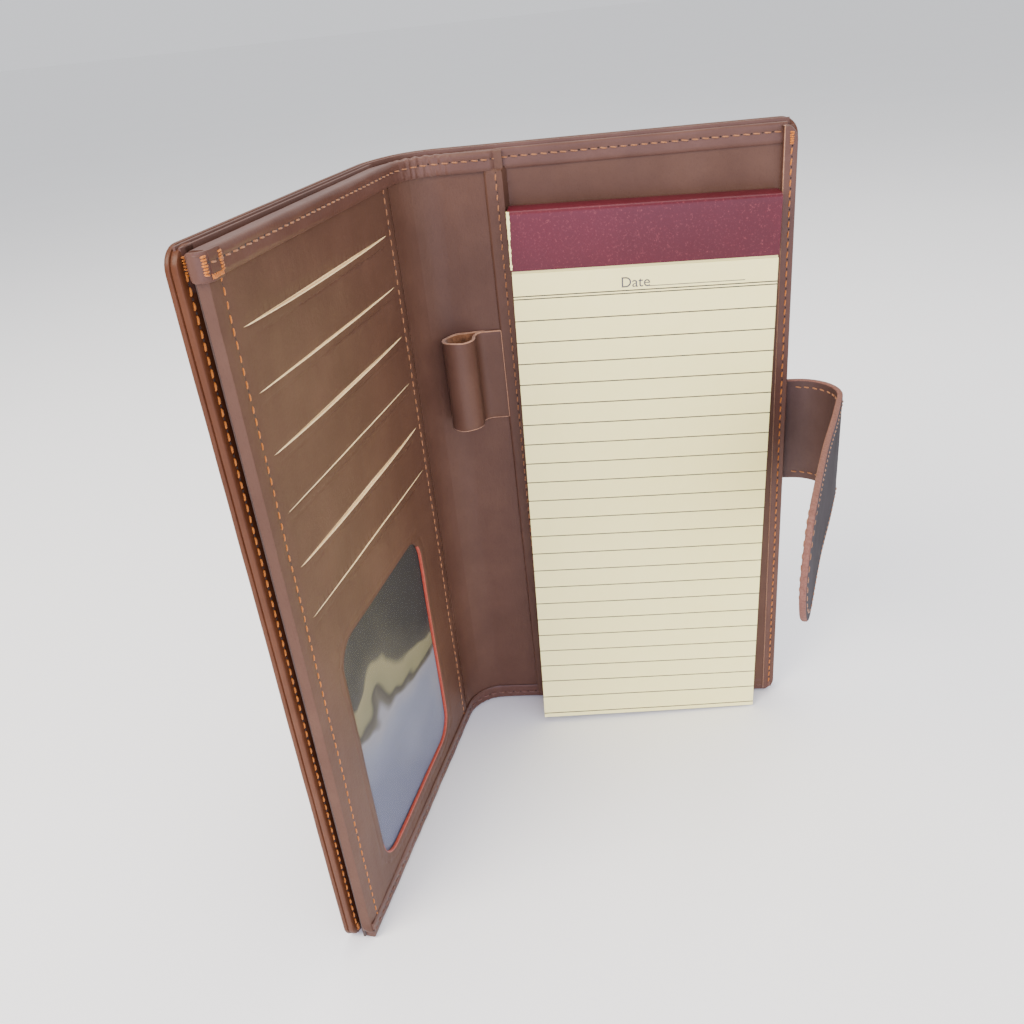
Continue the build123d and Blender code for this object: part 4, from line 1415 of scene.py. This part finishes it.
def dome(name, centre, axis, profile, body, node):
    """A turned brass piece that stands for a CAD node. profile is (radius, height along axis)."""
    axis = np.array(axis, float) / np.linalg.norm(axis)
    side = np.cross(axis, UP)
    up = np.cross(side, axis)
    count = 40
    rings = []
    for r, h in profile:
        rings.append([centre + axis * h + (side * math.cos(a) + up * math.sin(a)) * max(r, 0.02)
                      for a in np.linspace(0, 2 * math.pi, count, endpoint=False)])
    piece = sweep(name, rings, [brass])
    settle(piece, body, replaces=[node], slot="snap_metal")


stud_centre = np.mean(box_mm("snap_stud"), 0)
stud_axis = np.array([cover_out[0], cover_out[1], 0])
dome("snap_stud_cap", stud_centre - stud_axis * 0.6, stud_axis,
     [(5.9, 0), (5.9, 0.35), (5.5, 0.7), (4.4, 0.8), (4.2, 0.55), (3.0, 0.5), (2.8, 1.0), (2.2, 1.12),
      (0.02, 1.15)], "left_cover", "snap_stud")
socket_centre = np.mean(box_mm("snap_socket"), 0)
socket_axis = np.array([strap_dir[1], -strap_dir[0], 0])
dome("snap_socket_cap", socket_centre - socket_axis * 0.4, socket_axis,
     [(4.9, 0), (4.9, 0.7), (4.5, 1.05), (3.3, 1.15), (3.1, 0.7), (0.02, 0.65)], "strap_tip", "snap_socket")


# ------------------------------------------------------------------ notepad
tilt_x, tilt_z = math.sin(PAD_TILT), math.cos(PAD_TILT)
PAD_WIDTH = 80.7
PAD_HEIGHT = 192.3
HEAD = 17.9
pad_front_y = box_mm("pad_sheets")[0][1]
pad_back_y = FACE - 0.3
pad_corner = np.array([head_high[0] - PAD_WIDTH * tilt_z, 0, head_high[2]])


def pad_point(u, v, y):
    """Point on the notepad: u across from its left side, v up from its foot, y in depth."""
    u, v, y = np.broadcast_arrays(np.asarray(u, float), np.asarray(v, float), np.asarray(y, float))
    down = v - PAD_HEIGHT
    x = pad_corner[0] + u * tilt_z + down * tilt_x
    return np.stack([x, y, pad_corner[2] - u * tilt_x + down * tilt_z], -1)


def curl(v, u, strength):
    """How far a sheet's foot curls forward, more at its left."""
    low = np.clip(1 - v / 24.0, 0, 1)
    return strength * low ** 2 * (0.3 + 0.6 * (1 - u / PAD_WIDTH))


def swell(u, v):
    """The pad stands further forward at its left side, most at the foot."""
    return (1 - u / PAD_WIDTH) * (0.9 + 3.2 * (1 - v / PAD_HEIGHT))


BOW = 0.5
MID_ROW = 30                        # rows of points are closer together below this height


def sheet_wave(u, v):
    """How far the paper bows and waves forward."""
    u, v = np.broadcast_arrays(np.asarray(u, float), np.asarray(v, float))
    wave = ripple(np.column_stack([u.ravel(), v.ravel()]) * 0.03, 1.4, 51).reshape(u.shape)
    return BOW * (0.4 * np.sin(u / PAD_WIDTH * math.pi) + 0.12 * wave) + swell(u, v)


def sheet_mesh(name, depth, materials, u0, u1, v0, v1, curl_mm, thick, back=None):
    """A bent rectangular block of paper between two heights, its front at this depth."""
    vs = np.concatenate([np.linspace(v0, v0 + MID_ROW, 30), np.linspace(v0 + MID_ROW, v1, 30)[1:]])
    c = 14
    grid_u, grid_v = np.meshgrid(np.linspace(u0, u1, c), vs)
    bent = curl(grid_v, grid_u, curl_mm)
    front = depth - sheet_wave(grid_u, grid_v) - bent
    behind = front + thick if back is None else np.minimum(back, front + thick) - bent * 0.6
    first = pad_point(grid_u, grid_v, front).reshape(-1, 3)
    second = pad_point(grid_u, grid_v, behind).reshape(-1, 3)
    n = len(first)
    faces, slots = [], []
    for i in range(len(vs) - 1):
        for k in range(c - 1):
            a = i * c + k
            faces.append((a, a + 1, a + c + 1, a + c))
            faces.append((n + a, n + a + c, n + a + c + 1, n + a + 1))
            slots += [0, 0]
    rim = [(k, k + 1) for k in range(c - 1)]
    rim += [(i * c + c - 1, (i + 1) * c + c - 1) for i in range(len(vs) - 1)]
    last = (len(vs) - 1) * c
    rim += [(last + k + 1, last + k) for k in range(c - 1)] + [((i + 1) * c, i * c) for i in range(len(vs) - 1)]
    for a, b in rim:
        faces.append((b, a, n + a, n + b))
        slots.append(len(materials) - 1)
    coords = np.column_stack([grid_u.ravel(), grid_v.ravel()])
    return make_object(name, np.vstack([first, second]), faces, materials, slots,
                       uv=np.vstack([coords, coords]), sharp=50)


HEAD_V = PAD_HEIGHT - HEAD
DOUBLE_LINE = HEAD_V - 8.4
ruled = paper("ruled_paper", DOUBLE_LINE - 7.4, (DOUBLE_LINE + 0.45, DOUBLE_LINE - 0.45))
CURL = 1.6


def settle_pad(piece, body="notepad", replaces=(), slot="note_paper"):
    """Puts a piece on the notepad, which is pressed as the wallet shuts."""
    settle(piece, body, replaces=replaces, slot=slot)
    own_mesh(piece)


block = sheet_mesh("pad_block", pad_front_y + 1.3, [plain_paper, edge_paper], 0.1, PAD_WIDTH - 0.1, 3.6,
                   HEAD_V + 8, CURL - 0.4, 12.0, back=pad_back_y)
settle_pad(block, replaces=["pad_sheets"])
for i in range(5):
    left = 0.12 + rng.uniform(-0.1, 0.25)
    right = PAD_WIDTH - 0.12 - rng.uniform(-0.1, 0.3)
    loose = sheet_mesh("pad_leaf_%d" % (i + 1), pad_front_y + 1.12 - 0.2 * i, [plain_paper, edge_paper],
                       left, right, 3.3 - 0.3 * i, HEAD_V + 6, CURL + 0.16 * i, 0.1)
    settle_pad(loose)
sheet_end = HEAD_V - 0.85           # clear of the head cover as the sheet lifts
top_sheet = sheet_mesh("ruled_sheet", pad_front_y - 0.10, [ruled, plain_paper], 0.0, PAD_WIDTH, 1.2, sheet_end,
                       CURL + 1.3, 0.12)
settle_pad(top_sheet, "top_sheet", ["pad_top_sheet"])

# underline of the date field, and the word on it
DATE_V = HEAD_V - 7.1
rule_low, rule_high = DATE_V + 0.1, DATE_V + 0.32
rows = []
for u in np.linspace(41.9, 71.0, 16):
    y = pad_front_y - 0.13 - float(sheet_wave(u, rule_low))
    rows.append([pad_point(u, v, y + deep) for v, deep in ((rule_low, 0), (rule_high, 0), (rule_high, 0.05),
                                                           (rule_low, 0.05))])
settle_pad(sweep("date_rule", rows, [ink]), "top_sheet")
word = bpy.data.curves.new("date_word", "FONT")
word.body = "Date"
word.size = 4.6 * MM
word.extrude = 0.01 * MM
word.materials.append(ink)
label = bpy.data.objects.new("date_word", word)
bpy.context.scene.collection.objects.link(label)
bpy.context.view_layer.update()
flat_word = bpy.data.meshes.new_from_object(label.evaluated_get(bpy.context.evaluated_depsgraph_get()))
bpy.data.objects.remove(label)
coords = np.array([v.co for v in flat_word.vertices]) / MM
u = 33.2 + coords[:, 0]
v = DATE_V + 0.15 + coords[:, 1]
depth = pad_front_y - 0.14 - sheet_wave(u, v) - coords[:, 2]
placed = pad_point(u, v, depth) * MM
for vertex, p in zip(flat_word.vertices, placed):
    vertex.co = p
word_piece = bpy.data.objects.new("date_word", flat_word)
bpy.context.scene.collection.objects.link(word_piece)
settle_pad(word_piece, "top_sheet")

# burgundy head cover, wrapped over the top of the pad
head_rings = []
head_front = pad_front_y - 0.45
head_back = FACE + 0.85
HEAD_ROUND = 1.3
for u in np.linspace(-0.15, PAD_WIDTH + 0.15, 60):
    bulge = 0.35 * math.sin(u / PAD_WIDTH * math.pi) + 0.05 * math.sin(u * 0.5)
    r = HEAD_ROUND
    ring = [(head_front + 0.35, HEAD_V + 0.02), (head_front - bulge * 0.3, HEAD_V),
            (head_front - bulge, HEAD_V + 4), (head_front - bulge * 1.1, HEAD_V + 9),
            (head_front - bulge * 0.6, PAD_HEIGHT - r - 1.5)]
    for a in np.radians(np.linspace(180, 90, 6)):
        ring.append((head_front + r + r * math.cos(a), PAD_HEIGHT - r + r * math.sin(a)))
    for a in np.radians(np.linspace(90, 0, 5)):
        ring.append((head_back - 0.6 + 0.6 * math.cos(a), PAD_HEIGHT - 0.6 + 0.6 * math.sin(a)))
    ring += [(head_back, HEAD_V + 6), (head_back, HEAD_V + 1), (head_back - 0.4, HEAD_V + 0.3)]
    head_rings.append([pad_point(u, v, y - swell(u, v) * smooth((head_back - y) / 4)) for y, v in ring])
settle_pad(sweep("head_cover", head_rings, [head_cover]), replaces=["pad_header"], slot="head_cover")


# torn paper that shows at the head cover's left side
tear_rings = []
for v in np.linspace(HEAD_V + 0.5, PAD_HEIGHT - 0.1, 60):
    high = smooth((v - HEAD_V - 8) / 6)
    wide = 0.22 + 0.25 * high + 0.22 * abs(math.sin(v * 1.9)) * abs(math.sin(v * 0.7 + 1)) + rng.uniform(0, 0.16)
    y = head_front - 0.06 - float(swell(0.0, v))
    spots = ((-0.15 - 0.6 * wide, y + 0.9), (-0.15 - 0.3 * wide, y), (-0.15 + wide, y), (-0.15 + wide, y + 0.35))
    tear_rings.append([pad_point(u, v, depth) for u, depth in spots])
settle_pad(sweep("head_tear", tear_rings, [plain_paper]))


# ------------------------------------------------------------------ CAD nodes that stay
kept = {"left_stiffener": board, "right_stiffener": board, "leaf_backing": cloth, "pad_backboard": board}
for i in range(SLOTS):
    kept["card_pocket_%d" % (i + 1)] = slot_edge
for name, material in kept.items():
    mesh = frame["nodes"][name].data
    mesh.materials.clear()
    mesh.materials.append(material)


# ------------------------------------------------------------------ stage, light and camera
FLOOR_HALF = 30000.0
floor = make_object("floor", [(-FLOOR_HALF, -FLOOR_HALF, 0), (FLOOR_HALF, -FLOOR_HALF, 0),
                              (FLOOR_HALF, FLOOR_HALF, 0), (-FLOOR_HALF, FLOOR_HALF, 0)],
                    [(0, 1, 2, 3)], [floor_material()])
floor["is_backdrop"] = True


def aim(data, place, target):
    """A light's object, aimed at a point."""
    lamp = bpy.data.objects.new(data.name, data)
    bpy.context.scene.collection.objects.link(lamp)
    lamp.location = place
    lamp.rotation_euler = (Vector(target) - Vector(place)).to_track_quat("-Z", "Y").to_euler()


def area_light(name, place, target, size, power, colour):
    """Soft area light aimed at a point."""
    data = bpy.data.lights.new(name, "AREA")
    data.energy = power
    data.size = size
    data.color = colour
    aim(data, place, target)


area_light("key", (-0.5, -0.55, 0.85), (0.03, -0.03, 0.1), 0.6, 15.0, (1.0, 0.91, 0.78))
area_light("fill", (0.7, -0.7, 0.5), (0.03, -0.03, 0.1), 0.9, 5.0, (0.88, 0.90, 1.0))
area_light("top", (0.1, 0.25, 1.0), (0.03, -0.03, 0.15), 0.8, 8.0, (1.0, 0.97, 0.94))
area_light("low_front", (0.05, -0.9, 0.18), (0.03, -0.03, 0.08), 0.8, 8.0, (0.74, 0.72, 1.0))

cool_foot = bpy.data.lights.new("cool_foot", "SPOT")
cool_foot.energy = 5.0
cool_foot.color = (0.62, 0.62, 1.0)
cool_foot.spot_size = math.radians(34)
cool_foot.spot_blend = 1.0
cool_foot.shadow_soft_size = 0.12
aim(cool_foot, (0.08, -0.62, 0.20), (0.0, -0.05, -0.02))

world = bpy.data.worlds.new("studio")
bpy.context.scene.world = world
world.use_nodes = True
background = world.node_tree.nodes["Background"]
background.inputs["Color"].default_value = (0.95, 0.96, 1.0, 1)
background.inputs["Strength"].default_value = 1.0

AZIMUTH, ELEVATION, ROLL_ANGLE = np.radians([-6.79, 28.29, -6.24])
CAMERA_AT = (0.0432, -0.3013, 0.2469)
flat_view = math.cos(ELEVATION)
view = np.array([math.sin(AZIMUTH) * flat_view, math.cos(AZIMUTH) * flat_view, -math.sin(ELEVATION)])
side = np.cross(view, UP)
side /= np.linalg.norm(side)
up = np.cross(side, view)
right = side * math.cos(ROLL_ANGLE) + up * math.sin(ROLL_ANGLE)
above = -side * math.sin(ROLL_ANGLE) + up * math.cos(ROLL_ANGLE)
camera_data = bpy.data.cameras.new("camera")
camera_data.lens = 32.82
camera_data.sensor_width = 36.0
camera_data.clip_start = 0.01
camera = bpy.data.objects.new("camera", camera_data)
bpy.context.scene.collection.objects.link(camera)
camera.matrix_world = Matrix((
    (right[0], above[0], -view[0], CAMERA_AT[0]),
    (right[1], above[1], -view[1], CAMERA_AT[1]),
    (right[2], above[2], -view[2], CAMERA_AT[2]),
    (0, 0, 0, 1)))
bpy.context.scene.camera = camera

visual_box = [list(p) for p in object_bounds()]
({"cad": [[float(c) for c in p] for p in cad_box],
           "visual": [[float(c) for c in p] for p in visual_box]})
